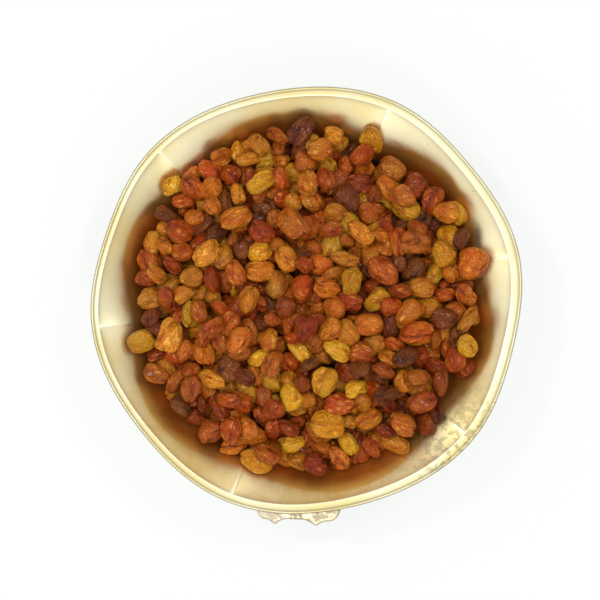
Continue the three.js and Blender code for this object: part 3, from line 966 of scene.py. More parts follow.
@dataclass
class BowlShell:
    """The raised bowl.

    The wall is scooped out between sharp creases. Each scoop ends in a thin ledge, which runs round under
    the lip's flat band and turns down into the crease at one of its ends. A wire finishes the lip, whose
    points are given as nominal radius, height over the crease, and how far they are darkened by tarnish and
    painted shade, most along its groove and outer edge.
    """

    form: BowlForm = replace(FORM, rib_softness=0.03)
    steps_per_lobe: int = 60
    crowding: float = 0.9
    hub: float = 2
    floor_rings: int = 8
    wall_rings: int = 30
    edge_rings: int = 30
    outer_rings: int = 40
    edge: float = 86.1
    edge_sway: float = 0.75
    edge_narrows_at: float = 170
    edge_from: float = 76
    edge_crowding: float = 1.7
    ledge_height: float = 0.5
    ledge_width: float = 1.3
    ledge_grows: Span = (60, 72)
    lapped_share: float = 0.26
    band: float = 88.1
    band_height: float = 0.74
    band_rings: int = 6
    # Painted shade across the lip's flat band.
    band_dull: float = 0.06
    band_duller: float = 0.4
    # The third value is tarnish and painted shade, darkest along the groove and the outer edge.
    lip: tuple[tuple[float, float, float], ...] = (
        (88.1, 0.74, 0.45), (88.45, 0.71, 0.7), (88.8, 0.9, 0.45), (89.2, 1.08, 0.15), (89.55, 0.9, 0.35),
        (89.85, 0.35, 1.0), (90.0, -0.25, 1.0), (89.7, -0.95, 0.9), (89.0, -1.35, 0.6), (88.1, -1.55, 0.4),
        (87.1, -1.66, 0.35),
    )
    lip_steps: int = 4
    outside_dull: float = 0.35
    outside_gloss: float = 0.2
    rubbed_from: Span = (82, 84.5)
    wire_from: Span = (88.1, 88.6)
    wire_gloss_less: float = 0.5
    # Width and start of the painted highlight along the scoops' edges.
    bright_width: float = 0.28
    bright_from: Span = (74, 84)
    stain: Stain = Stain()
    # Its third colour is a painted reflection of the raisins, its fourth painted shade next to the heap, its
    # fifth tarnish and painted shade, and its edge colour a painted highlight.
    brass: AgedBrass = AgedBrass(
        "brass_bowl", (248, 238, 196), (240, 219, 156), (212, 160, 78), (178, 100, 30), (134, 134, 104),
        rubbed=0.36, gloss=0.28, rough=0.38, patch=Vector((0.062, -0.056, 0.05)), patch_reach=0.034,
    )

    def angles(self) -> np.ndarray:
        """Spread sections round the bowl, close together at the creases.

        Returns:
            Their angles in radians.
        """
        ribs = self.form.ribs
        share = np.arange(self.steps_per_lobe) / self.steps_per_lobe
        share = share - self.crowding * np.sin(2 * math.pi * share) / (2 * math.pi)
        return np.concatenate([start + share * (end - start) for start, end in zip(ribs, ribs[1:])])

    def edge_at(self, angle: np.ndarray) -> np.ndarray:
        """Return the nominal radius of the ledge's edge at angles in radians."""
        return self.edge + self.edge_sway * np.cos(angle - math.radians(self.edge_narrows_at))

    def from_edge(self, radius: np.ndarray, angle: np.ndarray) -> np.ndarray:
        """Measure how far inside a scoop's edge places lie, round its corners too.

        Args:
            radius: Nominal radii.
            angle: Angles in radians.

        Returns:
            Their distances from the ledge under the lip or from the crease, in millimetres.
        """
        past, apart = self.form.past_rib(angle)
        aside = np.minimum(past * radius, self.lapped_share * (apart - past) * radius)
        inward = np.maximum(self.edge_at(angle) - radius, 0)
        return inward + aside - np.hypot(inward, aside)

    def ledge(self, radius: np.ndarray, angle: np.ndarray) -> np.ndarray:
        """Raise the rim of each scoop, with a round corner where it turns down into the crease.

        Args:
            radius: Nominal radii.
            angle: Angles in radians.

        Returns:
            The ledge's height over the plain wall.
        """
        height = self.ledge_height * np.exp(-self.from_edge(radius, angle) / self.ledge_width)
        flare = FORM.flare_slope * np.maximum(radius - FORM.crease, 0)
        return height * eased_step(radius, self.ledge_grows) + flare

    def inner_radii(self, angle: np.ndarray) -> np.ndarray:
        """Spread rings over the inside, close together under the ledge.

        Args:
            angle: The sections' angles.

        Returns:
            Their nominal radii, by section and ring.
        """
        plain = np.concatenate([
            np.linspace(self.hub, FORM.floor_radius, self.floor_rings)[:-1],
            np.linspace(FORM.floor_radius, self.edge_from, self.wall_rings)[:-1],
        ])[None, :]
        towards = 1 - (1 - np.linspace(0, 1, self.edge_rings)[None, :]) ** self.edge_crowding
        return np.concatenate([
            plain + 0 * angle, self.edge_from + (self.edge_at(angle) - self.edge_from) * towards,
        ], axis=1)

    def build(self) -> bpy.types.Object:
        """Raise the bowl: its inside, its lip, and its outside.

        Returns:
            The bowl.
        """
        angle = self.angles()[:, None]
        every = 0 * angle
        inner = self.inner_radii(angle)
        wall = self.form.height(inner, angle) + self.ledge(inner, angle)
        across = np.linspace(0, 1, self.band_rings)[None, 1:-1]
        crease = FORM.height(FORM.crease, angle)
        band = wall[:, -1:] + (crease + self.band_height - wall[:, -1:]) * across
        lip = np.array(list(eased(list(self.lip), self.lip_steps)))[None, :, :]
        outer = np.concatenate([
            np.linspace(FORM.crease, FORM.floor_radius, self.outer_rings),
            np.linspace(FORM.floor_radius, self.hub, self.floor_rings)[1:],
        ])[None, :]
        under = self.form.height(outer, angle) - FORM.steep(FORM.wall, outer)
        under = np.where(outer <= FORM.floor_radius, FOOT_HEIGHT, under)
        heights = np.concatenate([wall, band, crease + lip[:, :, 1], under], axis=1)
        edge = self.edge_at(angle)
        nominal = np.concatenate([
            inner, edge + (self.band - edge) * across, lip[:, :, 0] + every, outer + every,
        ], axis=1)
        sections = turned(nominal * FORM.widening(angle), angle, heights)
        points, faces = skinned(sections, (FORM.floor_top, FOOT_HEIGHT))
        piece = piece_from("bowl_shell", points, faces, self.brass.material())
        dull = np.concatenate([
            0 * inner[0], self.band_dull + self.band_duller * across[0], lip[0, :, 2],
            self.outside_dull + 0 * outer[0],
        ])
        ring = np.arange(nominal.shape[1])[None, :]
        inside, over = ring < inner.shape[1], ring < nominal.shape[1] - outer.size
        self.finish(piece.data, nominal, angle, inside, over, dull[None, :] + every)
        return settle_in(piece, "bowl")

    def finish(self, mesh: bpy.types.Mesh, nominal: np.ndarray, angle: np.ndarray, inside: np.ndarray,
               over: np.ndarray, dull: np.ndarray) -> None:
        """Mark where a painted reflection of the raisins and painted shade tint the wall, how far it is
        rubbed, where tarnish and painted shade darken it, and where a painted highlight lines the edges.

        Args:
            mesh: The bowl's mesh.
            nominal: The nominal radius of each point, by section.
            angle: The sections' angles.
            inside: Which of a section's points lie inside the ledge.
            over: Which of them lie inside or on the lip.
            dull: How far each point is darkened by tarnish and painted shade.
        """
        rubbed = eased_step(nominal, self.rubbed_from)
        rubbed = rubbed - self.wire_gloss_less * eased_step(nominal, self.wire_from)
        # A painted highlight line along the scoops' edges and the lip's inner edge.
        beside = np.where(inside, self.from_edge(nominal, angle), nominal - self.edge_at(angle))
        bright = np.exp(-((beside / self.bright_width) ** 2))
        # Painted light in these marks: a painted reflection of the raisins with painted shade, tarnish with
        # painted shade along the lip, and a painted highlight on the edges.
        marks = {
            "golden": self.stain.at(nominal, angle) * inside,
            "gloss": np.where(over, rubbed, self.outside_gloss),
            "dull": dull,
            "worn": bright * eased_step(nominal, self.bright_from) * over,
        }
        for name, values in marks.items():
            each = values.ravel()
            mark(mesh, name, np.append(each, [each[0], each[-1]]))


@dataclass
class FootRing:
    """The turned spool that the bowl stands on.

    Its section is given as radii in millimetres, each with a height. Waist and hollow have heights as shares
    of the whole height, and the rim that stands on the floor has them in millimetres.
    """

    sides: int = 144
    steps: int = 5
    waist: tuple[Span, ...] = ((32.5, 1.0), (30.9, 0.84), (30.5, 0.64), (31.9, 0.46), (36.5, 0.28))
    rim: tuple[Span, ...] = ((38.5, 2.2), (39.0, 1.0), (38.5, 0.0))
    hollow: tuple[Span, ...] = ((35.1, 0.0), (33.9, 0.14), (28.7, 0.42), (27.9, 0.62), (29.9, 1.0))
    brass: AgedBrass = AgedBrass(
        "brass_foot", (236, 220, 170), (222, 198, 138), (214, 168, 84), (152, 84, 28), (146, 130, 88),
        rubbed=0.12, gloss=0.2, rough=0.34, patch=Vector((0.03, -0.02, 0.0)), patch_reach=0.03,
    )

    def section(self) -> np.ndarray:
        """Draw the ring's section: down its waisted outside, and up its inside.

        Returns:
            Its points, as radius and height.
        """
        outside = [*((radius, share * FOOT_HEIGHT) for radius, share in self.waist), *self.rim]
        inside = [(radius, share * FOOT_HEIGHT) for radius, share in self.hollow]
        return np.array([*eased(outside, self.steps), *eased(inside, self.steps)])

    def build(self) -> bpy.types.Object:
        """Turn the ring.

        Returns:
            The ring.
        """
        section = self.section()[None, :, :]
        angle = np.linspace(0, 2 * math.pi, self.sides, endpoint=False)[:, None]
        points, faces = skinned(turned(section[:, :, 0], angle, section[:, :, 1]))
        outward = [face[::-1] for face in faces]
        return settle_in(piece_from("foot_ring_turned", points, outward, self.brass.material()), "foot_ring")


@dataclass
class Lug:
    """The cast tab under the front of the lip, in millimetres: its scalloped edge and two points."""

    angle: float = 267.7
    half_width: float = 18.2
    notch: float = 92.6
    tip: float = 95.2
    tip_offset: float = 8.4
    tip_rise: float = 2.4
    tip_fall: float = 2.2
    shoulder: float = 93.6
    shoulder_starts: float = 4.0
    shoulder_dip: float = 0.6
    shoulder_drop: float = 0.2
    corner: float = 84.0
    root: float = 80.0
    root_share: float = 0.9
    root_lean: float = 1.3
    tip_steps: int = 6
    shoulder_steps: int = 8
    sway: float = 1.5
    thickness: float = 3.0
    drop: float = 5.2
    softness: float = 0.8
    soft_steps: int = 3
    soft_from: float = 50.0
    brass: AgedBrass = AgedBrass(
        "brass_lug", (226, 214, 188), (208, 196, 164), (214, 168, 84), (152, 84, 28), (134, 124, 90),
        rubbed=0.12, gloss=0.3, rough=0.46, patch=Vector((0.0, -0.09, 0.05)), patch_reach=0.03,
    )

    def half_edge(self) -> list[Span]:
        """Draw half of the lug's scalloped edge.

        Returns:
            Points from the middle of the notch to the root, as distances along the wall and from the axis.
        """
        notch_end, tip = (self.tip_offset / 3, self.notch), (self.tip_offset, self.tip)
        dip = (self.tip_offset + self.shoulder_starts, self.shoulder - self.shoulder_dip)
        edge = [(0.0, self.notch), notch_end]
        edge += arc(notch_end, (self.tip_offset - self.tip_rise, self.notch), tip, self.tip_steps)
        edge += arc(tip, (self.tip_offset + self.tip_fall, self.shoulder), dip, self.tip_steps)
        bend = (self.half_width, self.shoulder - self.shoulder_drop)
        edge += arc(dip, bend, (self.half_width, self.corner), self.shoulder_steps)
        return [*edge, (self.half_width * self.root_share, self.root)]

    def outline(self) -> list[Span]:
        """Mirror the edge and sway it, so that its two points lie off the middle.

        Returns:
            The whole edge's points, as distances along the wall and from the axis.
        """
        half = self.half_edge()
        both = [(-across, out) for across, out in reversed(half[1:])] + half
        return [(across + self.sway * (1 - (across / self.half_width) ** 2), out) for across, out in both]

    def build(self) -> bpy.types.Object:
        """Cast the lug: a thick plate with softened edges whose root is sunk in the wall.

        Returns:
            The lug.
        """
        outline = self.outline()
        top = FORM.lip_crest - self.drop
        mesh = bmesh.new()
        lower = [mesh.verts.new((across, out, top - self.thickness)) for across, out in outline]
        upper = [mesh.verts.new((across, out, top)) for across, out in outline]
        mesh.faces.new(upper)
        mesh.faces.new(lower[::-1])
        for k in range(len(outline)):
            after = (k + 1) % len(outline)
            mesh.faces.new((lower[k], lower[after], upper[after], upper[k]))
        bmesh.ops.recalc_face_normals(mesh, faces=mesh.faces)
        for corner in (lower[0], lower[-1], upper[0], upper[-1]):
            corner.co.y += (corner.co.z - top + self.thickness / 2) * self.root_lean
        turn = Matrix.Rotation(math.radians(self.angle - 90), 4, "Z")
        place = Matrix.Translation(AXIS) @ Matrix.Scale(MM, 4) @ turn
        bmesh.ops.transform(mesh, matrix=place, verts=mesh.verts)
        data = bpy.data.meshes.new("lug_cast")
        mesh.to_mesh(data)
        mesh.free()
        piece = as_object("lug_cast", data, self.brass.material())
        bevel = piece.modifiers.new("softened", "BEVEL")
        bevel.width = self.softness * MM
        bevel.segments = self.soft_steps
        bevel.limit_method = "ANGLE"
        bevel.angle_limit = math.radians(self.soft_from)
        return settle_in(piece, "lug")


class Draw:
    """A row of random numbers, each the one before times a factor modulo a prime, as the solid draws them."""

    factor: int = 16807
    modulus: int = 2147483647

    def __init__(self, seed: int) -> None:
        """Start the row of numbers.

        Args:
            seed: Where it starts.
        """
        self.state = seed

    def __call__(self) -> float:
        """Return the next number, between 0 and 1."""
        self.state = self.state * self.factor % self.modulus
        return self.state / self.modulus


@dataclass
class Raisin:
    """One raisin at rest, in millimetres: its middle, half sizes and axes, and how much of it shows."""

    middle: np.ndarray
    half: np.ndarray
    axes: np.ndarray
    tone: Tone | None = None
    shown: float = 0.0

    @staticmethod
    def quadric(half: np.ndarray, axes: np.ndarray) -> tuple[np.ndarray, np.ndarray]:
        """Describe an ellipsoid.

        Args:
            half: Its half sizes.
            axes: Its axes, one row each.

        Returns:
            Its matrix and its reach along X, Y and Z.
        """
        matrix = (axes.T / half ** 2) @ axes
        return matrix, np.sqrt(((half[:, None] * axes) ** 2).sum(axis=0))


@dataclass(frozen=True)
class Placed:
    """A listed raisin: its place, size and heading in millimetres and degrees, and its colour."""

    x: float
    y: float
    length: float
    width: float
    turn: float
    tone: Tone


@dataclass
class Heap:
    """The heap of raisins, settled one by one on a map of heights in millimetre cells, as its solid is."""

    radius: float = 75
    below_lip: float = 9.2
    dome: float = 11.5
    bed_depth: float = 15
    count: int = 660
    seed: int = 2718
    length: tuple[float, float, float, float] = (10.6, 3.4, 7.4, 15)
    width_share: Span = (0.6, 0.9)
    thickness_share: Span = (0.62, 0.92)
    width: Span = (5.6, 9.8)
    laid_before_top: int = 470
    places_seen: int = 60
    places_tried: int = 6
    reach: float = 72.5
    press: float = 0.87
    tilt_limit: float = 0.75
    roll_spread: float = 1.5
    lean_spread: float = 0.5
    top_thickness: float = 0.7
    clearance: float = 0.35
    top: tuple[Placed, ...] = (
        Placed(70, 15, 14, 12.5, 80, Tone.ORANGE),
        Placed(-21.5, -68, 14.5, 10, -12, Tone.GOLDEN),
        Placed(-69.5, -17.5, 11.5, 9.5, 20, Tone.GOLDEN),
        Placed(27.2, 67, 12, 10, 95, Tone.GOLDEN),
        Placed(-2.5, 71, 13.5, 9.5, 60, Tone.PLUM),
        Placed(7, -34, 13, 11.5, 70, Tone.GOLDEN),
        Placed(8.8, -52, 15, 11.5, 10, Tone.GOLDEN),
        Placed(-6, 31.5, 17.5, 10.5, -40, Tone.ORANGE),
        Placed(18.5, 7.5, 11.5, 9.5, 100, Tone.GOLDEN),
        Placed(-16.5, 52, 12.5, 8, -5, Tone.GOLDEN),
        Placed(-20, 20, 10, 8.6, 30, Tone.GOLDEN),
        Placed(-57, -15, 14.5, 10.5, 65, Tone.AMBER),
        Placed(32, 12, 15, 10.5, -50, Tone.RUSSET),
        Placed(-33, -28.5, 12, 10.6, -60, Tone.PLUM),
        Placed(56.5, 19.5, 11, 10, -50, Tone.GOLDEN),
        Placed(40, -52, 15, 9, -30, Tone.ORANGE),
        Placed(-56.5, 48, 9.8, 8.8, 30, Tone.GOLDEN),
        Placed(-48.5, 51.5, 10.5, 8, 60, Tone.ORANGE),
        Placed(-41, 54.5, 10.5, 9.6, -30, Tone.ORANGE),
        Placed(-36, 60.5, 9.8, 8, 10, Tone.AMBER),
        Placed(-64.5, 24, 10.5, 8.6, 60, Tone.AMBER),
        Placed(63, 36.5, 10.5, 8, -50, Tone.GOLDEN),
        Placed(52.5, 42, 12.5, 9.6, 70, Tone.ORANGE),
        Placed(45.5, 48, 11, 9.6, 40, Tone.RUSSET),
        Placed(54.5, -47, 10.5, 7, -60, Tone.PLUM),
        Placed(50, -51.5, 11.5, 7.6, -60, Tone.RUSSET),
        Placed(37, -60.5, 13.5, 7.4, -22, Tone.AMBER),
        Placed(66, -28, 10.5, 8.8, -50, Tone.RUSSET),
    )
    raisins: list[Raisin] = field(default_factory=list)

    def __post_init__(self) -> None:
        """Lay out the map of heights, with the bowl's wall and the bed in it."""
        self.reach_cells = math.ceil(FORM.crease)
        line = np.arange(-self.reach_cells, self.reach_cells + 1, dtype=float)
        x, y = np.meshgrid(line, line)
        angle = np.arctan2(y, x)
        nominal = np.hypot(x, y) / FORM.widening(angle)
        wall = FORM.height(np.minimum(nominal, FORM.crease), angle) + FORM.steep(self.clearance, nominal)
        self.heights = np.maximum(wall, self.surface(x, y) - self.bed_depth)
        self.owners = np.full(x.shape, -1)

    def surface(self, x: np.ndarray | float, y: np.ndarray | float) -> np.ndarray:
        """Return the heap's intended height over places in millimetres."""
        edge = FORM.lip_crest - self.below_lip
        return edge + self.dome * (1 - (x * x + y * y) / self.radius ** 2)

    def window(self, x: float, y: float, reach_x: float,
               reach_y: float) -> tuple[Cells, np.ndarray, np.ndarray]:
        """Find the cells round a place.

        Args:
            x: The place.
            y: The place.
            reach_x: How far they reach along X.
            reach_y: How far they reach along Y.

        Returns:
            The cells in the map, and each cell's distance from the place along X and Y.
        """
        limit = self.reach_cells
        left, right = max(math.ceil(x - reach_x), -limit), min(math.floor(x + reach_x), limit)
        near, far = max(math.ceil(y - reach_y), -limit), min(math.floor(y + reach_y), limit)
        dx, dy = np.meshgrid(np.arange(left, right + 1) - x, np.arange(near, far + 1) - y)
        return (slice(near + limit, far + limit + 1), slice(left + limit, right + limit + 1)), dx, dy

    def slope_under(self, x: float, y: float, radius: float) -> np.ndarray:
        """Fit a plane to the heights over a disc.

        Args:
            x: The disc's middle.
            y: The disc's middle.
            radius: Its radius.

        Returns:
            The plane's slope along X and Y.
        """
        reach = math.floor(radius)
        cells, dx, dy = self.window(math.floor(x + 0.5), math.floor(y + 0.5), reach, reach)
        inside = dx * dx + dy * dy <= radius * radius
        heights = self.heights[cells]
        spread = max((dx * dx)[inside].sum(), TINY)
        return np.array([(dx * heights)[inside].sum(), (dy * heights)[inside].sum()]) / spread

    def lens(self, x: float, y: float, half: np.ndarray,
             axes: np.ndarray) -> tuple[Cells, np.ndarray, np.ndarray, np.ndarray]:
        """Find a raisin's lower and upper surface over the cells that it covers.

        Args:
            x: Its middle.
            y: Its middle.
            half: Its half sizes.
            axes: Its axes.

        Returns:
            The cells, which of them it covers, and its lower and upper surface from its middle.
        """
        q, reach = Raisin.quadric(self.press * half, axes)
        cells, dx, dy = self.window(x, y, reach[0], reach[1])
        along = q[0, 2] * dx + q[1, 2] * dy
        rest = q[0, 0] * dx * dx + 2 * q[0, 1] * dx * dy + q[1, 1] * dy * dy - 1
        inside = along * along - q[2, 2] * rest
        root = np.sqrt(np.maximum(inside, 0))
        return cells, inside > 0, (-along - root) / q[2, 2], (-along + root) / q[2, 2]

    def pose(self, half: np.ndarray, x: float, y: float, turn: float, roll: float = 0.0,
             lean: Span = (0.0, 0.0)) -> Raisin:
        """Lay a raisin along the slope under it and let it down until it rests.

        Args:
            half: Its half sizes.
            x: Its place.
            y: Its place.
            turn: The way that it points, in radians.
            roll: How it is rolled about its length.
            lean: How much it leans against the slope, along X and Y.

        Returns:
            The raisin at rest.
        """
        slope = self.slope_under(x, y, (half[0] + half[1]) / 2)
        tilt = np.clip(slope, -self.tilt_limit, self.tilt_limit) + lean
        up = unit(np.array([-tilt[0], -tilt[1], 1.0]))
        heading = np.array([math.cos(turn), math.sin(turn), 0.0])
        u = unit(heading - up * heading.dot(up))
        v = np.cross(up, u) * math.cos(roll) + up * math.sin(roll)
        axes = np.array([u, v, np.cross(u, v)])
        cells, covered, low, _ = self.lens(x, y, half, axes)
        gaps = np.where(covered, self.heights[cells] - low, 0)
        return Raisin(np.array([x, y, max(0.0, float(gaps.max(initial=0)))]), half, axes)

    def lay(self, raisin: Raisin) -> None:
        """Add a raisin to the heap and to the map.

        Args:
            raisin: The raisin at rest.
        """
        x, y, z = raisin.middle
        cells, covered, _, high = self.lens(x, y, raisin.half, raisin.axes)
        above = covered & (z + high > self.heights[cells])
        self.heights[cells] = np.where(above, z + high, self.heights[cells])
        self.owners[cells] = np.where(above, len(self.raisins), self.owners[cells])
        self.raisins.append(raisin)

    def size(self, draw: Draw) -> np.ndarray:
        """Draw a raisin's half sizes.

        Args:
            draw: The random numbers.

        Returns:
            Half of its length, width and thickness.
        """
        mean, spread, least, most = self.length
        long = min(max(mean + spread * (draw() + draw() + draw() - 1.5), least), most)
        slim, stout = self.width_share
        wide = min(max(long * (slim + (stout - slim) * draw()), self.width[0]), self.width[1])
        flat, full = self.thickness_share
        return np.array([long, wide, wide * (flat + (full - flat) * draw())]) / 2

    def low_places(self, draw: Draw) -> list[Span]:
        """Pick the lowest of many random places, against the heap's surface.

        Args:
            draw: The random numbers.

        Returns:
            The places.
        """
        places = []
        for _ in range(self.places_seen):
            radius = self.reach * math.sqrt(draw())
            bearing = 2 * math.pi * draw()
            x, y = radius * math.cos(bearing), radius * math.sin(bearing)
            row, column = math.floor(y + 0.5) + self.reach_cells, math.floor(x + 0.5) + self.reach_cells
            places.append((self.heights[row, column] - self.surface(x, y), x, y))
        places.sort(key=lambda place: place[0])
        return [(x, y) for _, x, y in places[:self.places_tried]]

    def loose(self, draw: Draw) -> Raisin:
        """Drop a raisin of random size where it comes to rest the lowest.

        Args:
            draw: The random numbers.

        Returns:
            The raisin at rest.
        """
        half = self.size(draw)
        best, lowest = None, math.inf
        for x, y in self.low_places(draw):
            turn = 2 * math.pi * draw()
            roll = self.roll_spread * (draw() + draw() - 1)
            lean = (self.lean_spread * (draw() - 0.5), self.lean_spread * (draw() - 0.5))
            raisin = self.pose(half, x, y, turn, roll, lean)
            level = raisin.middle[2] - self.surface(x, y)
            if level < lowest:
                best, lowest = raisin, level
        return best

    def placed(self, one: Placed) -> Raisin:
        """Let down a listed raisin.

        Args:
            one: Where and how it lies.

        Returns:
            The raisin at rest.
        """
        half = np.array([one.length, one.width, one.width * self.top_thickness]) / 2
        raisin = self.pose(half, one.x, one.y, math.radians(one.turn))
        raisin.tone = one.tone
        return raisin

    def settle(self) -> None:
        """Drop all the raisins, with the listed ones before the last of them."""
        draw = Draw(self.seed)
        for number in range(self.count):
            if number == self.laid_before_top:
                for one in self.top:
                    self.lay(self.placed(one))
            self.lay(self.loose(draw))
        numbers, cells = np.unique(self.owners[self.owners >= 0], return_counts=True)
        for number, count in zip(numbers, cells):
            self.raisins[number].shown = float(count)
        LOG.info("heap: %d raisins, %d of them in sight", len(self.raisins), len(numbers))


@dataclass(frozen=True)
class RaisinForms:
    """A few wrinkled raisin shapes that are stretched to each raisin's size."""

    count: int
    detail: int
    folds: float
    seed: int
    length_share: float = 0.85
    pole: float = 0.05
    bluntness: Span = (2.1, 2.8)
    lumps: tuple[Span, ...] = ((0.1, 1.9), (0.05, 3.8))
    fold_spread: Span = (1.0, 2.0)
    crease_pace: float = 1.9
    crease_width: float = 0.14
    crease_depth: Span = (0.02, 0.09)
    ridge_pace: float = 2.8
    ridge_share: float = 0.55
    wrinkle_pace: float = 6.6
    wrinkle_share: float = 0.45
    relief_gain: float = 1.7
    relief_drop: float = 0.7
    flats: int = 11
    flat_reach: Span = (0.74, 1.02)
    flat_sharpness: int = 10
    bend: float = 0.14
    sway: float = 0.12
    pivot: float = 0.4
    taper: float = 0.12
    fold_mark: tuple[float, float, float] = (0.6, 0.4, 0.25)

    def collection(self, name: str) -> bpy.types.Collection:
        """Make the shapes, and after them the same ones with fewer faces.

        Args:
            name: The collection's name.

        Returns:
            A collection of them, outside the scene.
        """
        forms = bpy.data.collections.new(name)
        for level in range(2):
            for number in range(self.count):
                random = np.random.default_rng(self.seed + number)
                forms.objects.link(self.form(f"{name}_{level}_{number:02d}", self.detail - level, random))
        return forms

    def form(self, name: str, detail: int, random: np.random.Generator) -> bpy.types.Object:
        """Wrinkle a round mesh along its length.

        Args:
            name: The shape's name.
            detail: How finely the mesh is divided.
            random: The random numbers.

        Returns:
            The shape.
        """
        mesh = bmesh.new()
        bmesh.ops.create_icosphere(mesh, subdivisions=detail, radius=1)
        data = bpy.data.meshes.new(name)
        mesh.to_mesh(data)
        mesh.free()
        ball = np.array([vertex.co for vertex in data.vertices])
        round_it = ball[:, 1:] / np.maximum(np.hypot(ball[:, 1], ball[:, 2]), self.pole)[:, None]
        grain = np.column_stack([ball[:, 0] * self.length_share, round_it])
        relief = self.relief(grain, random)
        power = random.uniform(*self.bluntness)
        blunt = (np.abs(ball) ** power).sum(axis=1) ** (-1 / power)
        lumps = sum(height * waves(ball, pace, random) for height, pace in self.lumps)
        creases = np.exp(-((waves(grain, self.crease_pace, random) / self.crease_width) ** 2))
        folds = self.folds * random.uniform(*self.fold_spread) * relief
        folds = folds - random.uniform(*self.crease_depth) * creases
        shape = ball * (blunt * self.dented(ball, random) * (1 + lumps + folds))[:, None]
        data.vertices.foreach_set("co", self.bent(shape, ball, random).ravel())
        middle, swing, crease_swing = self.fold_mark
        mark(data, "grain", grain)
        mark(data, "fold", np.clip(middle + swing * relief - crease_swing * creases, 0, 1))
        data.shade_smooth()
        return bpy.data.objects.new(name, data)

    def dented(self, ball: np.ndarray, random: np.random.Generator) -> np.ndarray:
        """Press a ball against a few soft planes, as a grape's flesh shrinks into flats and blunt corners.

        Args:
            ball: Points on a ball.
            random: The random numbers.

        Returns:
            How far out the pressed surface lies in each point's direction.
        """
        planes = random.normal(size=(self.flats, 3))
        planes /= np.linalg.norm(planes, axis=1, keepdims=True)
        near = np.maximum(ball @ planes.T, 0) / random.uniform(*self.flat_reach, self.flats)
        return (1 + (near ** self.flat_sharpness).sum(axis=1)) ** (-1 / self.flat_sharpness)

    def bent(self, shape: np.ndarray, ball: np.ndarray, random: np.random.Generator) -> np.ndarray:
        """Bend a shape both ways, make one end of it slimmer, and fit it in a cube from -1 to 1.

        Args:
            shape: The shape's points.
            ball: The same points on the ball.
            random: The random numbers.

        Returns:
            The bent and fitted points.
        """
        along = ball[:, 0]
        bow = along ** 2 - self.pivot
        shape[:, 2] += random.uniform(-self.bend, self.bend) * bow
        shape[:, 1] += random.uniform(-self.sway, self.sway) * bow
        shape[:, 1:] *= 1 + random.uniform(-self.taper, self.taper) * along[:, None]
        shape -= (shape.max(axis=0) + shape.min(axis=0)) / 2
        return shape / (0.5 * np.ptp(shape, axis=0))

    def relief(self, grain: np.ndarray, random: np.random.Generator) -> np.ndarray:
        """Fold the skin: rounded ridges with sharp valleys that run from end to end and wander.

        Args:
            grain: Places on the skin: along it, and twice round it.
            random: The random numbers.

        Returns:
            The relief, from -1 in a valley to 1 on a ridge.
        """
        coarse = np.abs(waves(grain, self.ridge_pace, random))
        fine = np.abs(waves(grain, self.wrinkle_pace, random))
        mixed = self.ridge_share * coarse + self.wrinkle_share * fine
        return np.clip(self.relief_gain * mixed - self.relief_drop, -1, 1)


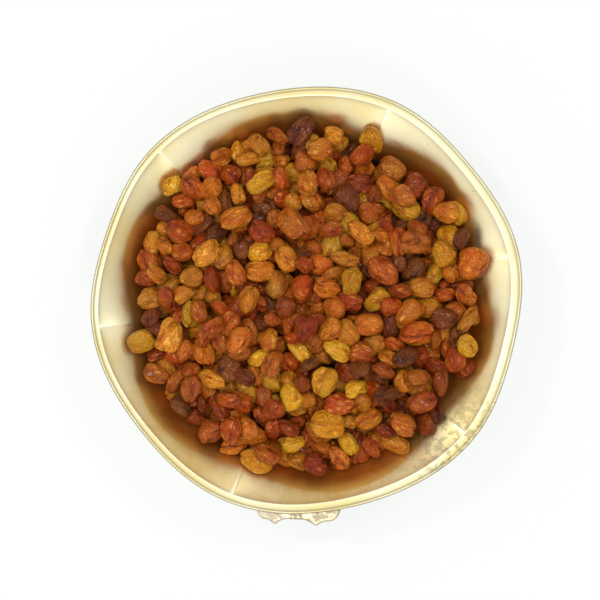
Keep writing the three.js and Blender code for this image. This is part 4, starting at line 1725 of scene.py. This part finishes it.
class RaisinNodes(NodeTree):
    """The Geometry Nodes tree that lays a wrinkled shape on each point of a mesh of places."""

    def __init__(self) -> None:
        """Build the tree with its named inputs."""
        super().__init__(bpy.data.node_groups.new("Lay raisins", "GeometryNodeTree"))
        self.tree.is_modifier = True
        kinds = {
            "Places": "Geometry", "Forms": "Collection", "Skin": "Material", "Swell": "Float", "Seed": "Int",
        }
        sockets = self.tree.interface
        self.inputs = {
            name: sockets.new_socket(name, in_out="INPUT", socket_type=f"NodeSocket{kind}")
            for name, kind in kinds.items()
        }
        sockets.new_socket("Raisins", in_out="OUTPUT", socket_type="NodeSocketGeometry")
        self._wire()

    def _named(self, name: str, kind: str) -> Socket:
        """Return the points' attribute that has a name and a data type."""
        node = self.add("GeometryNodeInputNamedAttribute", {"Name": name}, data_type=kind)
        return node.outputs["Attribute"]

    def _wire(self) -> None:
        """Join the nodes: places, shapes, own number, real mesh, finish."""
        source = self.add("NodeGroupInput").outputs
        forms = self.add("GeometryNodeCollectionInfo", {
            "Collection": source["Forms"], "Separate Children": True, "Reset Children": True,
        })
        turn = self.add("FunctionNodeEulerToRotation", {"Euler": self._named("turn", "FLOAT_VECTOR")})
        swell = self.add("ShaderNodeVectorMath", {
            "0": self._named("size", "FLOAT_VECTOR"), "Scale": source["Swell"],
        }, operation="SCALE")
        lay = self.add("GeometryNodeInstanceOnPoints", {
            "Points": source["Places"], "Instance": forms.outputs["Instances"], "Pick Instance": True,
            "Instance Index": self._named("form", "INT"), "Rotation": turn.outputs["Rotation"],
            "Scale": swell.outputs["Vector"],
        })
        own = self.add("FunctionNodeRandomValue", {"Seed": source["Seed"]}, data_type="FLOAT")
        keep = self.add("GeometryNodeStoreNamedAttribute", {
            "Geometry": lay.outputs["Instances"], "Name": "own", "Value": own.outputs["Value"],
        }, data_type="FLOAT", domain="INSTANCE")
        real = self.add("GeometryNodeRealizeInstances", {"Geometry": keep.outputs["Geometry"]})
        dress = self.add("GeometryNodeSetMaterial", {
            "Geometry": real.outputs["Geometry"], "Material": source["Skin"],
        })
        self.add("NodeGroupOutput", {"Raisins": dress.outputs["Geometry"]})

    def lay(self, name: str, raisins: list[Raisin], forms: bpy.types.Collection, skin: bpy.types.Material,
            swell: float, seed: int) -> bpy.types.Object:
        """Lay a group of raisins as one plain mesh.

        Args:
            name: The piece's name.
            raisins: The raisins.
            forms: The shapes to pick from, and after them their plainer copies.
            skin: Their finish.
            swell: How much larger than at their points of contact they are.
            seed: The seed of their own numbers.

        Returns:
            The piece.
        """
        places = bpy.data.meshes.new(f"{name}_places")
        middles = np.array([raisin.middle for raisin in raisins]) * MM + np.array(AXIS)
        places.from_pydata(middles.tolist(), [], [])
        half = len(forms.objects) // 2
        picks = np.random.default_rng(seed).integers(0, half, len(raisins))
        picks += half * np.array([raisin.shown < HARDLY_SHOWN for raisin in raisins])
        mark(places, "turn", np.array([Matrix(raisin.axes.T.tolist()).to_euler("XYZ") for raisin in raisins]))
        mark(places, "size", np.array([raisin.half for raisin in raisins]) * MM)
        places.attributes.new("form", "INT", "POINT").data.foreach_set("value", picks.astype(np.int32))
        piece = bpy.data.objects.new(name, places)
        bpy.context.scene.collection.objects.link(piece)
        modifier = piece.modifiers.new("laid", "NODES")
        modifier.node_group = self.tree
        values = {"Forms": forms, "Skin": skin, "Swell": swell, "Seed": seed}
        for key, value in values.items():
            modifier[self.inputs[key].identifier] = value
        graph = bpy.context.evaluated_depsgraph_get()
        graph.update()
        real = piece.evaluated_get(graph)
        mesh = bpy.data.meshes.new_from_object(real, preserve_all_data_layers=True, depsgraph=graph)
        piece.modifiers.clear()
        piece.data = mesh
        mesh.name = name
        return piece


@dataclass(frozen=True)
class Bed:
    """The lumpy mass under the loose raisins, which is seen only through their gaps, in millimetres; its dark
    skin is painted shade.
    """

    turns: int = 120
    rings: int = 26
    hub: float = 2.0
    reach: float = 66.0
    rise: float = 3.0
    lump: float = 1.2
    lump_pace: float = 0.9
    least: float = 0.4
    grain: float = 0.25
    # A darker skin than the raisins in sight: painted shade under the heap.
    skin: RaisinSkin = RaisinSkin(
        "skin_beneath", (40, 10, 0), (104, 38, 8), (84, 28, 4), (124, 58, 18), glow=0.2, rough=0.5,
    )

    def build(self, heap: Heap, skin: bpy.types.Material, seed: int) -> bpy.types.Object:
        """Fill the bowl from close to its wall up to a little below the heap's surface.

        Args:
            heap: The heap that lies on it.
            skin: Its finish.
            seed: The seed of its lumps.

        Returns:
            The bed.
        """
        angle = np.linspace(0, 2 * math.pi, self.turns, endpoint=False)[:, None]
        radius = np.linspace(self.hub, self.reach, self.rings)[None, :]
        across = radius * FORM.widening(angle)
        x, y = across * np.cos(angle), across * np.sin(angle)
        under = FORM.height(radius, angle) + FORM.steep(2 * heap.clearance, radius)
        places = np.stack([x, y, 0 * x], axis=2).reshape(-1, 3)
        lumps = waves(places, self.lump_pace, np.random.default_rng(seed)).reshape(x.shape)
        over = heap.surface(x, y) - heap.bed_depth + self.rise + self.lump * lumps
        over = np.maximum(over, under + self.least)
        upper = np.stack([x, y, over], axis=2)
        lower = np.stack([x, y, under + 0 * x], axis=2)[:, ::-1]
        poles = (float(over[:, 0].mean()), float(under[:, 0].mean()))
        points, faces = skinned(np.concatenate([upper, lower], axis=1), poles)
        piece = piece_from("raisin_bed", points, faces, skin)
        mark(piece.data, "grain", points * self.grain)
        return piece


@dataclass
class RaisinHeap:
    """All that fills the bowl: raisins in sight by colour, raisins beneath them, and the bed under those."""

    heap: Heap = field(default_factory=Heap)
    fine: RaisinForms = RaisinForms(count=16, detail=4, folds=0.05, seed=100)
    coarse: RaisinForms = RaisinForms(count=4, detail=3, folds=0.03, seed=300)
    bed: Bed = Bed()
    swell: float = 1.03
    seed: int = 41
    mark_least: float = 35.0
    marks: tuple[tuple[float, float, Tone], ...] = (
        (58, 20, Tone.GOLDEN), (57, 3, Tone.GOLDEN), (48, 5, Tone.AMBER), (-3, -18, Tone.GOLDEN),
        (17, -24, Tone.GOLDEN), (-11, 43, Tone.AMBER), (-22, 61, Tone.AMBER), (-12, 66, Tone.GOLDEN),
        (1, 62, Tone.AMBER), (10, 59, Tone.GOLDEN), (37, 54, Tone.AMBER), (9, 39, Tone.AMBER),
        (-43, -31, Tone.AMBER), (22, -44, Tone.GOLDEN), (25, -52, Tone.AMBER), (-52, -4, Tone.GOLDEN),
        (-3, 8, Tone.ORANGE), (5, -2, Tone.ORANGE), (-19, -47, Tone.ORANGE), (2, -76, Tone.RUSSET),
    )

    def build(self) -> list[bpy.types.Object]:
        """Settle the heap and build its pieces.

        Returns:
            The pieces.
        """
        self.heap.settle()
        self.share_tones()
        nodes = RaisinNodes()
        fine, coarse = self.fine.collection("fine_forms"), self.coarse.collection("coarse_forms")
        pieces = []
        for number, tone in enumerate(Tone):
            group = [raisin for raisin in self.heap.raisins if raisin.tone is tone and raisin.shown > 0]
            name, skin = f"raisins_{tone.name.lower()}", tone.value.material()
            pieces.append(nodes.lay(name, group, fine, skin, self.swell, self.seed + number))
        beneath = [raisin for raisin in self.heap.raisins if raisin.shown == 0]
        # The raisins beneath and the bed get the dark skin as painted shade.
        dark = self.bed.skin.material()
        pieces.append(nodes.lay("raisins_beneath", beneath, coarse, dark, self.swell, self.seed))
        pieces.append(self.bed.build(self.heap, dark, self.seed))
        for forms in (fine, coarse):
            for form in list(forms.objects):
                bpy.data.objects.remove(form)
            bpy.data.collections.remove(forms)
        return [settle_in(piece, "raisins") for piece in pieces]

    def share_tones(self) -> None:
        """Colour the raisins at the marked places, and the rest that have no colour yet by a seeded draw."""
        random = np.random.default_rng(self.seed)
        tones, shares = list(TONE_SHARES), np.array(list(TONE_SHARES.values()))
        for x, y, tone in self.marks:
            free = [one for one in self.heap.raisins if one.tone is None and one.shown > self.mark_least]
            nearest = min(free, key=lambda one: math.hypot(one.middle[0] - x, one.middle[1] - y))
            nearest.tone = tone
        for raisin in self.heap.raisins:
            pick = random.choice(len(tones), p=shares / shares.sum())
            if raisin.tone is None:
                raisin.tone = tones[pick]


@dataclass(frozen=True)
class Lamp:
    """A soft round lamp: its place and width in metres, and its power in watts."""

    x: float
    y: float
    z: float
    width: float
    power: float

    def build(self, name: str, target: Vector) -> None:
        """Hang the lamp so that it looks at a place.

        Args:
            name: Its name.
            target: The place.
        """
        lamp = bpy.data.lights.new(name, "AREA")
        lamp.shape = "DISK"
        lamp.size = self.width
        lamp.energy = self.power
        holder = bpy.data.objects.new(name, lamp)
        holder.location = (self.x, self.y, self.z)
        holder.rotation_euler = (target - holder.location).to_track_quat("-Z", "Y").to_euler()
        bpy.context.scene.collection.objects.link(holder)


@dataclass
class Studio:
    """The pale floor, the soft light and the camera over the bowl."""

    picture: int = 600
    bowl_width: float = 430.0
    bowl_middle: Span = (307.0, 300.0)
    camera_height: float = 0.85
    sensor: float = 36.0
    floor_half: float = 3.0
    sky: tuple[Span, ...] = (
        (0.0, 0.46), (0.14, 0.5), (0.45, 0.66), (0.7, 0.96), (0.84, 1.14), (0.95, 0.84), (1.0, 0.74),
    )
    lean: Vector = Vector((-0.22, -0.2, 0.0))
    lamps: tuple[Lamp, ...] = (
        Lamp(-0.4, 0.24, 1.15, width=0.14, power=2.2),
        Lamp(0.36, 0.32, 1.15, width=0.12, power=1.5),
        Lamp(0.08, -0.42, 1.15, width=0.12, power=1.3),
    )
    lit: Vector = Vector((0, 0, 0.05))

    def build(self) -> None:
        """Set up the floor, the light and the camera."""
        self.floor()
        self.surroundings()
        for number, lamp in enumerate(self.lamps):
            lamp.build(f"soft_lamp_{number}", self.lit)
        self.camera()

    def floor(self) -> None:
        """Lay the floor that the bowl stands on."""
        half = self.floor_half
        corners = [(-half, -half, 0), (half, -half, 0), (half, half, 0), (-half, half, 0)]
        mesh = bpy.data.meshes.new("floor")
        mesh.from_pydata(corners, [], [(0, 1, 2, 3)])
        as_object("floor", mesh, PaleFloor().material())

    def surroundings(self) -> None:
        """Surround the bowl with pale light: brightest in a ring high up, and stronger towards one side."""
        world = bpy.data.worlds.new("studio")
        world.use_nodes = True
        nodes = NodeTree(world.node_tree)
        place = nodes.add("ShaderNodeTexCoord").outputs["Generated"]
        height = nodes.add("ShaderNodeSeparateXYZ", {"0": place}).outputs["Z"]
        ramp = nodes.add("ShaderNodeValToRGB", {"Fac": height})
        for number, (at, light) in enumerate(self.sky):
            stops = ramp.color_ramp.elements
            stop = stops[number] if number < 2 else stops.new(at)
            stop.position = at
            stop.color = (light, light, light, 1.0)
        side = nodes.add("ShaderNodeVectorMath", {"0": place, "1": self.lean}, operation="DOT_PRODUCT")
        strength = nodes.add("ShaderNodeMath", {"0": side.outputs["Value"], "1": 1.0}, operation="ADD")
        background = world.node_tree.nodes["Background"]
        nodes.feed(background.inputs["Color"], ramp.outputs["Color"])
        nodes.feed(background.inputs["Strength"], strength.outputs[0])
        bpy.context.scene.world = world
        bpy.context.scene.view_settings.view_transform = "Standard"

    def camera(self) -> None:
        """Hang the camera straight over the bowl, so that the bowl takes its share of the picture."""
        scale = 2 * FORM.lip_radius * MM / self.bowl_width
        data = bpy.data.cameras.new("camera")
        data.sensor_width = self.sensor
        data.lens = self.sensor * self.camera_height / (scale * self.picture)
        camera = bpy.data.objects.new("camera", data)
        middle = self.picture / 2
        camera.location = (
            AXIS[0] + (middle - self.bowl_middle[0]) * scale,
            AXIS[1] + (self.bowl_middle[1] - middle) * scale,
            FORM.lip_crest * MM + self.camera_height,
        )
        bpy.context.scene.collection.objects.link(camera)
        bpy.context.scene.camera = camera


def main() -> None:
    """Build the bowl, its raisins and the studio."""
    logging.basicConfig(level=logging.INFO, format="%(name)s %(message)s")
    for part in (BowlShell(), FootRing(), Lug(), RaisinHeap(), Studio()):
        part.build()


if __name__ == "__main__":
    main()
